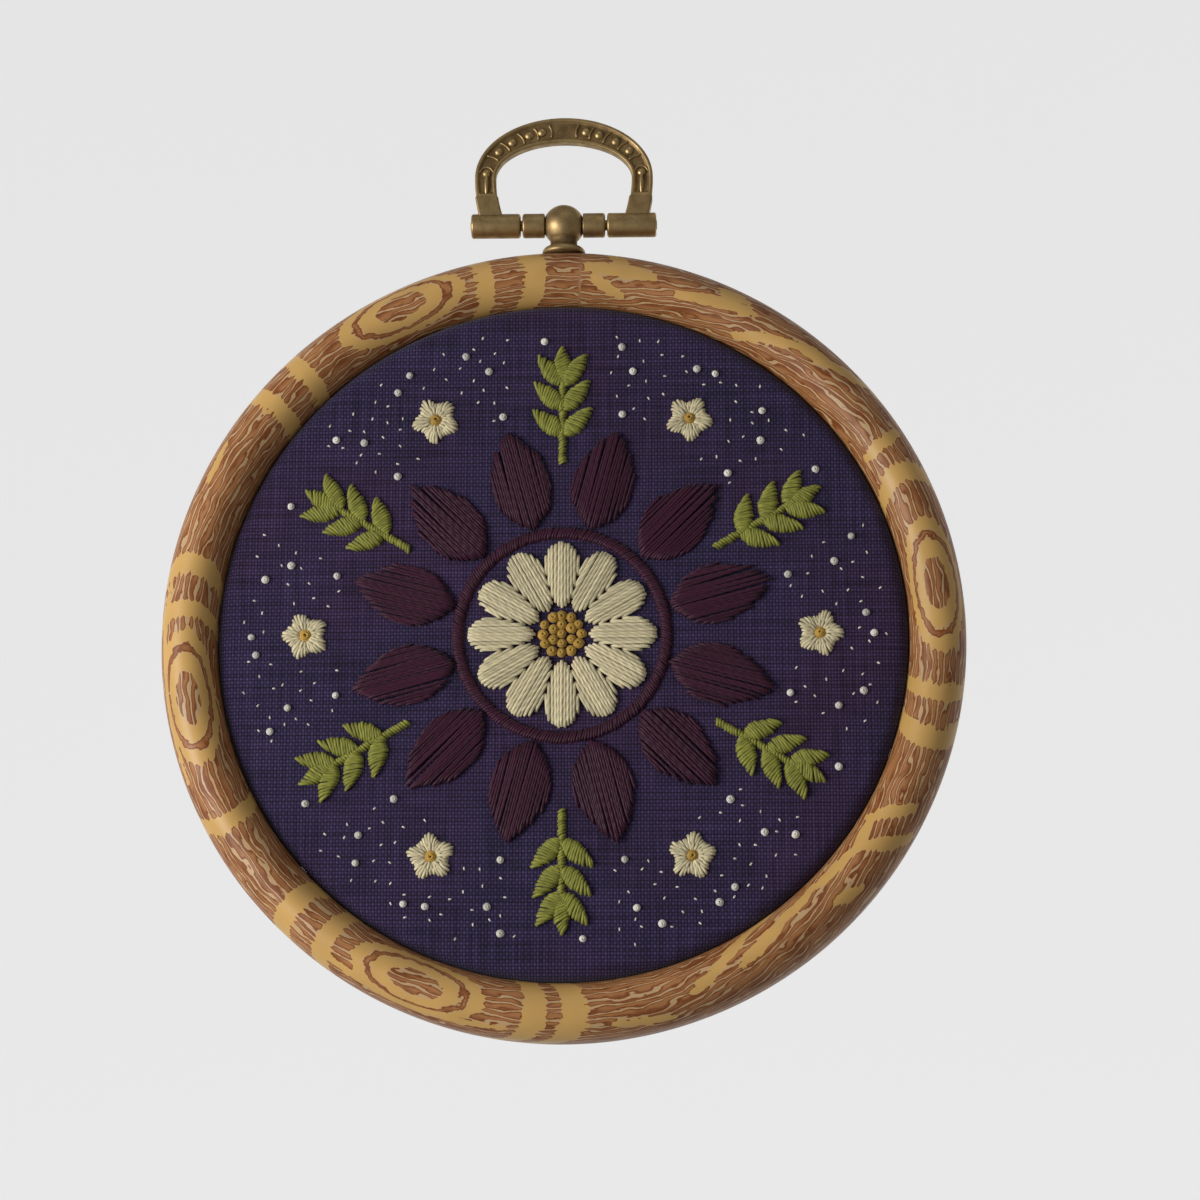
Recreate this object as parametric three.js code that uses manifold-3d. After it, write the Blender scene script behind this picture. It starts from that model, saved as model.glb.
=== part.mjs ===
// Hoop embroidery art: drum-tight cloth between two hoops, with a hinged loop to hang it by.
// Millimetres, +Z up, the worked face towards -Y. The origin is the inside top of the loop,
// where a nail or hook carries the piece.
import * as THREE from "three";
import { mergeVertices } from "three/addons/utils/BufferGeometryUtils.js";
import Module from "manifold-3d";

// Space left between two pieces that meet.
const GAP = 0.3;

// Outer ring: a flexible tube, rounded at the front and flat at the back.
const rim = {
  radius: 51,
  width: 7.3,
  depth: 9.5,
  backRoundOutside: 2.2,
  backRoundInside: 1.1,
};

// Cloth: a flat face, a rounded edge and a skirt that dives between the rings.
const clothSize = {
  thickness: 1,
  faceDepth: 2.55,
  edgeRound: 1.8,
  trimShortOfBack: 0.3,
};

// Inner ring: a plain band under the cloth.
const band = { width: 3.2, backRound: 0.6 };

// Steps round a full turn of the rings, and along their rounded edges.
const TURN_STEPS = 64;
const FRONT_STEPS = 10;
const EDGE_STEPS = 3;
const BAND_EDGE_STEPS = 2;
const HIDDEN_EDGE_STEPS = 1;

// Hanger heights are measured from the pin's axis.
const pinSize = { radius: 0.7, boreRadius: 1, dropFromSeat: 11.3, aboveRim: 4.1 };
const post = {
  ballRadius: 2.55,
  armRadius: 1.6,
  armEnd: 5.38,
  neckRadius: 1.8,
  neckTop: -1.5,
  neckFoot: -2.9,
  flangeRadius: 2.75,
  flangeEdge: 0.35,
  studRadius: 1,
  studLength: 4.5,
  holeRadius: 1.3,
  holeDepth: 5,
};
const loop = {
  thickness: 1.6,
  springHeight: 6.5,
  outerHalfWidth: 11.65,
  outerTop: 14.7,
  innerHalfWidth: 8.9,
  footHeight: 1.2,
  footOuter: 10.95,
  footInner: 8.1,
  border: 0.5,
  channelDepth: 0.35,
  channelFoot: 4.3,
};
const barrel = { radius: 1.6, inner: 5.67, outer: 12.07 };
const collar = { height: 3.8, thickness: 2.2 };
const bead = { radius: 0.62, across: [2.9, 4.6, 6.8, 8.55] };
const drop = { headHeight: 5.2, headRadius: 0.75, stemHeight: 7.6, stemRadius: 0.3 };
const ROUND_STEPS = 20;
const BEAD_STEPS = 8;
const LEAF_STEPS = 4;

// Embroidery: low pads of stitches, their sizes measured from the middle of the cloth.
const stitchHeight = 0.8;
const stitchRound = 0.3;
const flower = { petals: 12, start: 3.3, tip: 12, petalWidth: 4.5, middleRadius: 3, middleHeight: 1.3 };
const star = { leaves: 12, ringRadius: 13.2, ringWidth: 1.3, tip: 27.5, leafWidth: 7.6, leafFullness: 0.3 };
const sprig = { count: 6, start: 22.5, tip: 38, stemWidth: 0.9, leafLength: 5.2, leafWidth: 2.3 };
const sprigLeaves = [
  { along: 3.6, turn: 48 },
  { along: 7, turn: 44 },
  { along: 10.2, turn: 38 },
];
// Handles of a leaf's side curve, as shares of its length and, to the side, of its width.
const LOW_HANDLE = 0.2;
const HIGH_HANDLE = 0.5;
const HANDLE_REACH = 2 / 3;
const blossom = { count: 6, distance: 32.5, radius: 3, lobes: 5, lobeDepth: 0.8, outlineSteps: 30 };

const rimInside = rim.radius - rim.width;
const rimFront = -rim.depth / 2;
const rimBack = rim.depth / 2;
const skirtOutside = rimInside - GAP;
const skirtInside = skirtOutside - clothSize.thickness;
const clothFace = rimFront + clothSize.faceDepth;
const clothBack = clothFace + clothSize.thickness;
const trimBack = rimBack - clothSize.trimShortOfBack;
const pinHeight = -pinSize.dropFromSeat;
const rimTop = pinHeight - pinSize.aboveRim;
const hoopCentre = rimTop - rim.radius;

const wasm = await Module();
wasm.setup();

// A closed geometry as a solid that can be joined and cut.
function solid(geometry) {
  const bare = geometry.clone();
  bare.deleteAttribute("normal");
  bare.deleteAttribute("uv");
  const merged = mergeVertices(bare);
  return new wasm.Manifold(
    new wasm.Mesh({
      numProp: 3,
      vertProperties: merged.attributes.position.array,
      triVerts: merged.index.array,
    }),
  );
}

// The faces of a solid as a geometry.
function facesOf(made) {
  const mesh = made.getMesh();
  const geometry = new THREE.BufferGeometry();
  geometry.setAttribute("position", new THREE.BufferAttribute(mesh.vertProperties, 3));
  geometry.setIndex(new THREE.BufferAttribute(mesh.triVerts, 1));
  geometry.computeVertexNormals();
  return geometry;
}

// Several overlapping geometries as one solid.
function joined(geometries) {
  return geometries.map(solid).reduce((whole, next) => whole.add(next));
}

function named(name, geometry, material) {
  const mesh = new THREE.Mesh(geometry, material);
  mesh.name = name;
  return mesh;
}

// Points on an elliptical arc about (x, y), between two angles in degrees.
function arc(x, y, across, along, from, to, steps) {
  const points = [];
  for (let i = 0; i <= steps; i++) {
    const angle = THREE.MathUtils.degToRad(THREE.MathUtils.lerp(from, to, i / steps));
    points.push(new THREE.Vector2(x + across * Math.cos(angle), y + along * Math.sin(angle)));
  }
  return points;
}

// A section of radius and depth turned about the hoop's axis.
function turned(section) {
  return new THREE.LatheGeometry(section, TURN_STEPS);
}

// A cylinder whose axis lies along X.
function crossCylinder(radius, from, to) {
  const cylinder = new THREE.CylinderGeometry(radius, radius, to - from, ROUND_STEPS);
  return cylinder.rotateZ(Math.PI / 2).translate((from + to) / 2, 0, 0);
}

// Outer ring, with the blind hole that takes the post's stud.
function outerRing() {
  const middle = rim.radius - rim.width / 2;
  const outside = rim.backRoundOutside;
  const inside = rim.backRoundInside;
  const section = [
    ...arc(middle, 0, rim.width / 2, rim.depth / 2, 180, 360, FRONT_STEPS),
    ...arc(rim.radius - outside, rimBack - outside, outside, outside, 0, 90, EDGE_STEPS),
    ...arc(rimInside + inside, rimBack - inside, inside, inside, 90, 180, EDGE_STEPS),
  ];
  section.push(section[0].clone());
  const hole = new THREE.CylinderGeometry(
    post.holeRadius,
    post.holeRadius,
    2 * post.holeDepth,
    ROUND_STEPS,
  );
  hole.rotateX(Math.PI / 2).translate(0, 0, rim.radius);
  return facesOf(solid(turned(section)).subtract(solid(hole)));
}

// Cloth: face, rounded edge, skirt, and the same way back on its underside.
function cloth() {
  const round = clothSize.edgeRound;
  const under = round - clothSize.thickness;
  const bend = skirtOutside - round;
  const section = [
    new THREE.Vector2(0, clothFace),
    ...arc(bend, clothFace + round, round, round, 270, 360, EDGE_STEPS),
    new THREE.Vector2(skirtOutside, trimBack),
    new THREE.Vector2(skirtInside, trimBack),
    ...arc(bend, clothFace + round, under, under, 360, 270, EDGE_STEPS),
    new THREE.Vector2(0, clothBack),
  ];
  return turned(section);
}

// Inner ring: a band whose front edge is rounded to the cloth's bend.
function innerRing() {
  const outside = skirtInside - GAP;
  const inside = outside - band.width;
  const front = clothBack + GAP;
  const round = clothSize.edgeRound - clothSize.thickness - GAP;
  const back = band.backRound;
  const section = [
    ...arc(inside + back, front + back, back, back, 180, 270, HIDDEN_EDGE_STEPS),
    ...arc(outside - round, front + round, round, round, 270, 360, BAND_EDGE_STEPS),
    ...arc(outside - back, trimBack - back, back, back, 0, 90, HIDDEN_EDGE_STEPS),
    ...arc(inside + back, trimBack - back, back, back, 90, 180, BAND_EDGE_STEPS),
  ];
  section.push(section[0].clone());
  return turned(section);
}

// Post: a stud and flange below, a neck, then a ball between two arms, bored for the pin.
function hangerPost() {
  const flangeFoot = -pinSize.aboveRim + GAP;
  const studEnd = -pinSize.aboveRim - post.studLength;
  const section = [
    new THREE.Vector2(0, studEnd),
    new THREE.Vector2(post.studRadius, studEnd),
    new THREE.Vector2(post.studRadius, flangeFoot),
    new THREE.Vector2(post.flangeRadius, flangeFoot),
    new THREE.Vector2(post.flangeRadius, flangeFoot + post.flangeEdge),
    new THREE.Vector2(post.neckRadius, post.neckFoot),
    new THREE.Vector2(post.neckRadius, post.neckTop),
    new THREE.Vector2(0, post.neckTop),
  ];
  const stem = new THREE.LatheGeometry(section, ROUND_STEPS).rotateX(Math.PI / 2);
  const ball = new THREE.SphereGeometry(post.ballRadius, ROUND_STEPS, ROUND_STEPS / 2);
  const arms = crossCylinder(post.armRadius, -post.armEnd, post.armEnd);
  const bore = crossCylinder(pinSize.boreRadius, -2 * post.armEnd, 2 * post.armEnd);
  return facesOf(joined([stem, ball, arms]).subtract(solid(bore)));
}

// The loop's outline, drawn in from its edges by an inset and cut off below at a foot.
function loopOutline(inset, foot) {
  const spring = loop.springHeight;
  const outer = loop.outerHalfWidth - inset;
  const inner = loop.innerHalfWidth + inset;
  const outerRise = loop.outerTop - spring - inset;
  const innerRise = pinSize.dropFromSeat - spring + inset;
  const legShare = (spring - foot) / (spring - loop.footHeight);
  const footOuter = outer - legShare * (loop.outerHalfWidth - loop.footOuter);
  const footInner = inner - legShare * (loop.innerHalfWidth - loop.footInner);
  return new THREE.Shape([
    new THREE.Vector2(footOuter, foot),
    ...arc(0, spring, outer, outerRise, 0, 180, ROUND_STEPS),
    new THREE.Vector2(-footOuter, foot),
    new THREE.Vector2(-footInner, foot),
    ...arc(0, spring, inner, innerRise, 180, 0, ROUND_STEPS),
    new THREE.Vector2(footInner, foot),
  ]);
}

// An outline drawn as seen from the front, given a thickness from one depth to another.
function slab(outline, front, back) {
  const made = new THREE.ExtrudeGeometry(outline, { depth: back - front, bevelEnabled: false });
  return made.rotateX(Math.PI / 2).translate(0, back, 0);
}

// Beads and drops that stand in the loop's sunk channel, on both sides of its middle.
function loopOrnament() {
  const halfWidth = (loop.outerHalfWidth + loop.innerHalfWidth) / 2;
  const rise = (loop.outerTop + pinSize.dropFromSeat) / 2 - loop.springHeight;
  const face = -loop.thickness / 2 + loop.channelDepth;
  const pieces = [];
  for (const side of [-1, 1]) {
    for (const across of bead.across) {
      const height = loop.springHeight + rise * Math.sqrt(1 - (across / halfWidth) ** 2);
      const ball = new THREE.SphereGeometry(bead.radius, BEAD_STEPS, BEAD_STEPS / 2);
      pieces.push(ball.translate(side * across, face, height));
    }
    const leg = side * halfWidth;
    const head = new THREE.SphereGeometry(drop.headRadius, BEAD_STEPS, BEAD_STEPS / 2);
    pieces.push(head.translate(leg, face, drop.headHeight));
    const length = drop.stemHeight - drop.headHeight;
    const stem = new THREE.CylinderGeometry(drop.stemRadius, drop.stemRadius, length, BEAD_STEPS);
    stem.rotateX(Math.PI / 2);
    pieces.push(stem.translate(leg, face, drop.headHeight + length / 2));
  }
  return pieces;
}

// Loop: a flat arch with a sunk channel, on square collars and two barrels bored for the pin.
function bail() {
  const face = -loop.thickness / 2;
  const arch = solid(slab(loopOutline(0, loop.footHeight), face, -face));
  const channel = slab(
    loopOutline(loop.border, loop.channelFoot),
    face - loop.channelDepth,
    face + loop.channelDepth,
  );
  const feet = [];
  for (const side of [-1, 1]) {
    const width = loop.footOuter - loop.footInner;
    const block = new THREE.BoxGeometry(width, collar.thickness, collar.height);
    const middle = (side * (loop.footOuter + loop.footInner)) / 2;
    feet.push(block.translate(middle, 0, collar.height / 2));
    const ends = [side * barrel.inner, side * barrel.outer];
    feet.push(crossCylinder(barrel.radius, Math.min(...ends), Math.max(...ends)));
  }
  const bore = crossCylinder(pinSize.boreRadius, -2 * barrel.outer, 2 * barrel.outer);
  const carved = arch.subtract(solid(channel));
  const whole = [...loopOrnament(), ...feet].map(solid).reduce((made, next) => made.add(next), carved);
  return facesOf(whole.subtract(solid(bore)));
}

// Pin: a plain rod, flush with the barrels' outer ends.
function pin() {
  return crossCylinder(pinSize.radius, -barrel.outer, barrel.outer);
}

// A low pad of stitches, just in front of the cloth, its edge rounded by a given amount.
function pad(outline, round) {
  const made = new THREE.ExtrudeGeometry(outline, {
    depth: stitchHeight - 2 * round,
    bevelEnabled: round > 0,
    bevelThickness: round,
    bevelSize: round,
    bevelOffset: -round,
    bevelSegments: 1,
    curveSegments: LEAF_STEPS,
  });
  return made.rotateX(Math.PI / 2).translate(0, clothFace - GAP - round, 0);
}

// A leaf from its foot to its tip: fullness sets how blunt its far end is, from 0 to 1.
function leafOutline(foot, tip, width, fullness) {
  const reach = width * HANDLE_REACH;
  const low = THREE.MathUtils.lerp(foot, tip, LOW_HANDLE);
  const high = THREE.MathUtils.lerp(foot, tip, HIGH_HANDLE + (1 - HIGH_HANDLE) * fullness);
  const outline = new THREE.Shape();
  outline.moveTo(0, foot);
  outline.bezierCurveTo(reach, low, reach, high, 0, tip);
  outline.bezierCurveTo(-reach, high, -reach, low, 0, foot);
  return outline;
}

function turnedBy(geometry, degrees) {
  return geometry.rotateY(THREE.MathUtils.degToRad(degrees));
}

// The same leaf all round the middle of the cloth.
function leafCircle(count, foot, tip, width, fullness, offset) {
  const leaves = [];
  for (let i = 0; i < count; i++) {
    const leaf = pad(leafOutline(foot, tip, width, fullness), stitchRound);
    leaves.push(turnedBy(leaf, ((i + offset) * 360) / count));
  }
  return leaves;
}

// Flower's petals, joined where they crowd together at the foot.
function flowerPetals() {
  const petals = leafCircle(flower.petals, flower.start, flower.tip, flower.petalWidth, 1, 0);
  return facesOf(joined(petals));
}

// Flower's middle: a low dome of knots.
function flowerMiddle() {
  const base = clothFace - GAP;
  const dome = arc(0, base, flower.middleRadius, flower.middleHeight, 0, -90, 2 * EDGE_STEPS);
  return new THREE.LatheGeometry([...dome.reverse(), new THREE.Vector2(0, base)], ROUND_STEPS);
}

// Star of pointed leaves, held together by the ring of stitches at their feet.
function leafStar() {
  const outline = new THREE.Shape();
  const outer = star.ringRadius + star.ringWidth / 2;
  outline.setFromPoints(arc(0, 0, outer, outer, 0, 360, 2 * star.leaves).slice(1));
  const inner = star.ringRadius - star.ringWidth / 2;
  outline.holes.push(new THREE.Path(arc(0, 0, inner, inner, 0, 360, 2 * star.leaves).slice(1)));
  const { leaves, ringRadius, tip, leafWidth, leafFullness } = star;
  const points = leafCircle(leaves, ringRadius, tip, leafWidth, leafFullness, 1 / 2);
  return facesOf(joined([pad(outline, 0), ...points]));
}

// Sprig: a thin stem with pairs of leaves and one at its tip.
function sprigPad() {
  const tipLeaf = sprig.tip - sprig.leafLength;
  const length = tipLeaf + sprig.leafLength / 2 - sprig.start;
  const stem = new THREE.BoxGeometry(sprig.stemWidth, stitchHeight, length);
  stem.translate(0, clothFace - GAP - stitchHeight / 2, sprig.start + length / 2);
  const leaves = [stem, pad(leafOutline(tipLeaf, sprig.tip, sprig.leafWidth, 0), 0)];
  for (const { along, turn } of sprigLeaves) {
    for (const side of [-1, 1]) {
      const leaf = pad(leafOutline(0, sprig.leafLength, sprig.leafWidth, 0), 0);
      turnedBy(leaf, side * turn);
      leaves.push(leaf.translate(0, 0, sprig.start + along));
    }
  }
  return facesOf(joined(leaves));
}

// Blossom: a round outline that swells and shrinks once for each lobe.
function blossomPad() {
  const points = [];
  for (let i = 0; i < blossom.outlineSteps; i++) {
    const angle = (i / blossom.outlineSteps) * 2 * Math.PI;
    const swell = (1 + Math.cos(blossom.lobes * angle)) / 2;
    const radius = blossom.radius - blossom.lobeDepth * (1 - swell);
    points.push(new THREE.Vector2(radius * Math.sin(angle), radius * Math.cos(angle)));
  }
  return pad(new THREE.Shape(points), stitchRound).translate(0, 0, blossom.distance);
}

const vinyl = new THREE.MeshStandardMaterial({ color: 0xcdb389, roughness: 0.45, metalness: 0 });
const plastic = new THREE.MeshStandardMaterial({ color: 0xd9cdb6, roughness: 0.5, metalness: 0 });
const violet = new THREE.MeshStandardMaterial({ color: 0x2e263a, roughness: 0.95, metalness: 0 });
const cream = new THREE.MeshStandardMaterial({ color: 0xdcd2aa, roughness: 0.7, metalness: 0 });
const gold = new THREE.MeshStandardMaterial({ color: 0xc8a046, roughness: 0.7, metalness: 0 });
const plum = new THREE.MeshStandardMaterial({ color: 0x5a2236, roughness: 0.7, metalness: 0 });
const olive = new THREE.MeshStandardMaterial({ color: 0x8c8a3a, roughness: 0.7, metalness: 0 });
const bronze = new THREE.MeshStandardMaterial({ color: 0x6b5a3a, roughness: 0.4, metalness: 1 });

const hoop = new THREE.Group();
hoop.position.z = hoopCentre;
hoop.add(
  named("outer_ring", outerRing(), vinyl),
  named("inner_ring", innerRing(), plastic),
  named("cloth", cloth(), violet),
  named("flower_petals", flowerPetals(), cream),
  named("flower_middle", flowerMiddle(), gold),
  named("leaf_star", leafStar(), plum),
);
for (let i = 0; i < sprig.count; i++) {
  hoop.add(named(`sprig_${i + 1}`, turnedBy(sprigPad(), (i * 360) / sprig.count), olive));
}
for (let i = 0; i < blossom.count; i++) {
  const turn = ((i + 1 / 2) * 360) / blossom.count;
  hoop.add(named(`blossom_${i + 1}`, turnedBy(blossomPad(), turn), cream));
}

const hanger = new THREE.Group();
hanger.position.z = pinHeight;
hanger.add(
  named("hanger_post", hangerPost(), bronze),
  named("bail", bail(), bronze),
  named("pin", pin(), bronze),
);

const art = new THREE.Group();
art.add(hoop, hanger);
export default art;
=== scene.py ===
"""Hoop embroidery art: dark cloth drum-tight in a woodgrain vinyl hoop, worked with a flower,
leaves and sprigs, and hung from a hinged bronze loop.

Each new piece is a grid of points worked out with numpy, in metres, in the frame's own axes:
+X right, +Z up, the worked face towards -Y. Flat places on the cloth are (across, up) from its
middle, and angles round the hoop are clockwise from its top, as seen from the front.
"""

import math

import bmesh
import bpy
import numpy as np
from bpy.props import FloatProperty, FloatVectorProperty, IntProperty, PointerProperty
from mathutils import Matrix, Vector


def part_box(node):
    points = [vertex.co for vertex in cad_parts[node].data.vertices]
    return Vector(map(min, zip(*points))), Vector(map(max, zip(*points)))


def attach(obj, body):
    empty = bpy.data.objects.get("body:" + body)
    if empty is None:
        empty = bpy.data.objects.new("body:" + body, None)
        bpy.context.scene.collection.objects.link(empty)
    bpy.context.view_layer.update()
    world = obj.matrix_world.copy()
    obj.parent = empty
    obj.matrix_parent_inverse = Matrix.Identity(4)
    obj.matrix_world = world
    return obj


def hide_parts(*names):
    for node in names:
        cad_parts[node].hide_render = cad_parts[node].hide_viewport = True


bl_info = {
    "name": "Hoop Embroidery Art",
    "version": (1, 0, 0),
    "blender": (4, 5, 0),
    "location": "3D View > Sidebar > Hoop",
    "description": "Builds an embroidered cloth in a woodgrain hoop with its hanging loop",
    "category": "Add Mesh",
}

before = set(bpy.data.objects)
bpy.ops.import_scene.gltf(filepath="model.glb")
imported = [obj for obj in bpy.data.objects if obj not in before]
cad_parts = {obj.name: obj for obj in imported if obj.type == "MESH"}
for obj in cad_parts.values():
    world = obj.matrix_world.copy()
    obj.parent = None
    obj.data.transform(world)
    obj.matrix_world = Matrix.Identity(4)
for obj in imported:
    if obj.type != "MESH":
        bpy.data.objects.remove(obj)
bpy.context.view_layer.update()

MM = 0.001


def linear(code):
    """The linear values of an sRGB colour written as six hex digits."""
    value = np.array([int(code[i : i + 2], 16) for i in (0, 2, 4)]) / 255
    low = value / 12.92
    high = ((value + 0.055) / 1.055) ** 2.4
    return tuple(np.where(value <= 0.04045, low, high))


def span(node):
    """A frame node's lowest and highest corners as arrays."""
    low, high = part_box(node)
    return np.array(low), np.array(high)


# Places that the frame gives
RING_LOW, RING_HIGH = span("outer_ring")
CLOTH_LOW, CLOTH_HIGH = span("cloth")
BAND_LOW, BAND_HIGH = span("inner_ring")
PIN_LOW, PIN_HIGH = span("pin")
POST_LOW, POST_HIGH = span("hanger_post")
LOOP_LOW, LOOP_HIGH = span("bail")
RIM_RADIUS = (RING_HIGH[0] - RING_LOW[0]) / 2
RIM_BACK = RING_HIGH[1]
CENTRE = np.array([0, 0, RING_LOW[2] + RIM_RADIUS])
CLOTH_FACE = CLOTH_LOW[1]
TRIM = CLOTH_HIGH[1]
PIN_AXIS = np.array([0, 0, (PIN_LOW[2] + PIN_HIGH[2]) / 2])
PIN_RADIUS = (PIN_HIGH[1] - PIN_LOW[1]) / 2
BARREL_END = LOOP_HIGH[0]
ARM_END = POST_HIGH[0]
LOOP_TOP = LOOP_HIGH[2] - PIN_AXIS[2]
RIM_DROP = PIN_AXIS[2] - CENTRE[2] - RIM_RADIUS

# Rings and cloth
RIM_WIDTH = 7.3 * MM
RIM_ROUND_OUTSIDE = 2.2 * MM
RIM_ROUND_INSIDE = 1.1 * MM
PINCH = 0.01 * MM
CLOTH_EDGE_ROUND = 1.8 * MM
CLOTH_THICKNESS = 0.35 * MM
BAND_WIDTH = 3.2 * MM
BAND_ROUND = 0.6 * MM
SKIRT_RADIUS = RIM_RADIUS - RIM_WIDTH - PINCH
BAND_OUTSIDE = SKIRT_RADIUS - CLOTH_THICKNESS - PINCH
BAND_INSIDE = (BAND_HIGH[0] - BAND_LOW[0]) / 2 - BAND_WIDTH

# Hanger, its heights measured from the pin's axis
SPRING_HEIGHT = 6.5 * MM
OUTER_HALF_WIDTH = 11.65 * MM
INNER_HALF_WIDTH = 8.9 * MM
FOOT_HEIGHT = 1.2 * MM
FOOT_OUTER = 10.95 * MM
FOOT_INNER = 8.1 * MM
LOOP_THICKNESS = 1.6 * MM
LOOP_ROUND = 0.22 * MM
BORDER = 0.5 * MM
CHANNEL_DEPTH = 0.35 * MM
CHANNEL_FOOT = 4.1 * MM
COLLAR_HEIGHT = 3.8 * MM
COLLAR_THICKNESS = 2.2 * MM
COLLAR_STEP = 0.12 * MM
BARREL_RADIUS = 1.6 * MM
BARREL_INNER = 5.67 * MM
BARREL_ROUND = 0.28 * MM
PIN_ROUND = 0.15 * MM
ARM_START = 2.5 * MM
ARM_ROUND = 0.12 * MM
BALL_RADIUS = 2.7 * MM
NECK_RADIUS = 1.75 * MM
FLANGE_RADIUS = 2.8 * MM

# Embroidery
PETALS = 12
PETAL_FOOT = 3.3 * MM
PETAL_TIP = 12 * MM
PETAL_WIDTH = 4.5 * MM
STAR_RING = 13.2 * MM
STAR_RING_WIDTH = 1.5 * MM
STAR_TIP = 27.5 * MM
STAR_LEAF_WIDTH = 7.6 * MM
STAR_FULLNESS = 0.3
SPRIGS = 6
SPRIG_FOOT = 22.5 * MM
SPRIG_TIP = 38 * MM
SPRIG_LEAF = 5.2 * MM
SPRIG_LEAF_WIDTH = 2.3 * MM
SPRIG_LEAVES = ((3.6 * MM, 48), (7 * MM, 44), (10.2 * MM, 38))
BLOSSOMS = 6
BLOSSOM_PLACE = 32.5 * MM
BLOSSOM_RADIUS = 3 * MM
BLOSSOM_LOBES = 5
BLOSSOM_LOBE_DEPTH = 0.8 * MM
LOW_HANDLE = 0.2
HIGH_HANDLE = 0.5
HANDLE_REACH = 2 / 3

# The rim's print, in degrees clockwise from the hoop's top and mm across from the rim's crest,
# outwards. Clear bands cross the rim as (angle, half width, bow), clear streaks run along it as
# (angle, across, angle, across, half width), the grain slants as (from, to, slope), and each
# knot has an angle.
SEAM = 3
PRINT_BANDS = (
    (-4, 1.1, 0.06),
    (-12, 0.8, 0.05),
    (-44, 0.75, 0.02),
    (-51, 0.8, 0.02),
    (-79, 1.0, 0.09),
    (-86, 0.7, 0.08),
    (-120, 0.75, -0.06),
    (-136, 1.0, 0.03),
    (-143, 0.75, 0.03),
    (-176, 1.0, -0.07),
    (178, 1.2, -0.08),
    (107, 1.0, 0.08),
    (100, 0.7, 0.06),
    (65, 0.9, -0.1),
)
PRINT_STREAKS = (
    (4, 0.6, 14, 0.4, 0.75),
    (7, 4.2, 10, 0.8, 0.7),
    (5, -1, 9.5, -3, 0.5),
    (18.5, -1, 30.5, 0.6, 0.65),
    (24.5, 1.9, 29, 1.7, 0.55),
    (29.5, -3.2, 39.5, 0.4, 0.5),
    (39.5, 0.4, 44.5, 1, 0.75),
    (45, 1.4, 50, 3, 0.5),
    (49.5, 4, 55, 5.2, 0.5),
    (60, -3.2, 59, 2.4, 0.6),
    (117.5, 1.8, 122, -3.2, 0.6),
    (122, -2.6, 127, -2, 0.6),
    (127, -2, 137, -3, 0.65),
    (137, -3, 143.5, -2, 0.55),
    (143.5, -2, 152, 0, 0.6),
    (121, 4, 126, -1, 0.6),
    (131.5, 2, 135.5, 0.6, 0.5),
    (144, -5.5, 148, -4.4, 0.6),
    (148, -4.4, 155.5, -1, 0.6),
    (155.5, -1, 160, 0.5, 0.45),
    (164, 3.2, 172, 2.2, 0.4),
    (-81, 3, -96, 3.4, 0.35),
    (-96, 3.4, -112, 3.7, 0.3),
    (-142, 2.4, -156, 3.6, 0.35),
    (-156, 3.6, -172, 3, 0.35),
    (-60, 2.6, -66, 1.8, 0.35),
)
PRINT_SLANTS = ((5, 56, 0.17), (115, 165, 0.2), (-74, -56, -0.08))
PRINT_KNOTS = (-26, -100, -158, 83)
KNOT_HALF_LENGTH = 7.8
KNOT_HALF_WIDTH = 3.6
KNOT_LINE = 0.82
KNOT_RINGS = (
    (0.42, 1),
    (0.54, 0),
    (0.68, 0),
    (0.74, 0.85),
    (0.9, 0.85),
    (0.96, 0),
    (1.08, 0),
    (1.16, 1),
)


def colour_property(name, description, code):
    """A colour that the user may change, from its sRGB hex digits."""
    return FloatVectorProperty(
        name=name, description=description, subtype="COLOR", default=linear(code), min=0, max=1
    )


def length_property(name, description, default, low):
    """A length that the user may change, and the least that it may be."""
    return FloatProperty(
        name=name, description=description, default=default, min=low, unit="LENGTH"
    )


class RimSettings(bpy.types.PropertyGroup):
    """The woodgrain vinyl of the outer ring."""

    stroke: colour_property("Strokes", "Colour of the printed grain", "82461b")
    stroke_middle: colour_property(
        "Stroke Middles", "Colour along the middle of a stroke, where the print is thin", "af7646"
    )
    gap: colour_property("Gaps", "Colour of the thin gaps between strokes", "c8a478")
    ochre: colour_property("Clear", "Colour of the bare vinyl", "d2a660")
    streak_pitch: length_property(
        "Stroke Pitch", "From one printed stroke to the next", 0.84 * MM, 0.2 * MM
    )


class BandSettings(bpy.types.PropertyGroup):
    """The plain plastic of the inner ring."""

    colour: colour_property("Plastic", "Colour of the moulded inner ring", "cdb894")


class ClothSettings(bpy.types.PropertyGroup):
    """The plain-weave cloth."""

    warp: colour_property("Upright Threads", "Colour of the threads up and down", "41355a")
    weft: colour_property("Cross Threads", "Colour of the threads side to side", "342b4b")
    patch: colour_property("Patches", "Colour of the warmer patches in the dye", "442a4a")
    warp_pitch: length_property(
        "Upright Pitch", "From one upright thread to the next", 0.38 * MM, 0.1 * MM
    )
    weft_pitch: length_property(
        "Cross Pitch", "From one cross thread to the next", 0.44 * MM, 0.1 * MM
    )
    thickness: length_property("Thickness", "Thickness of the cloth", CLOTH_THICKNESS, 0.1 * MM)


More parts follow.
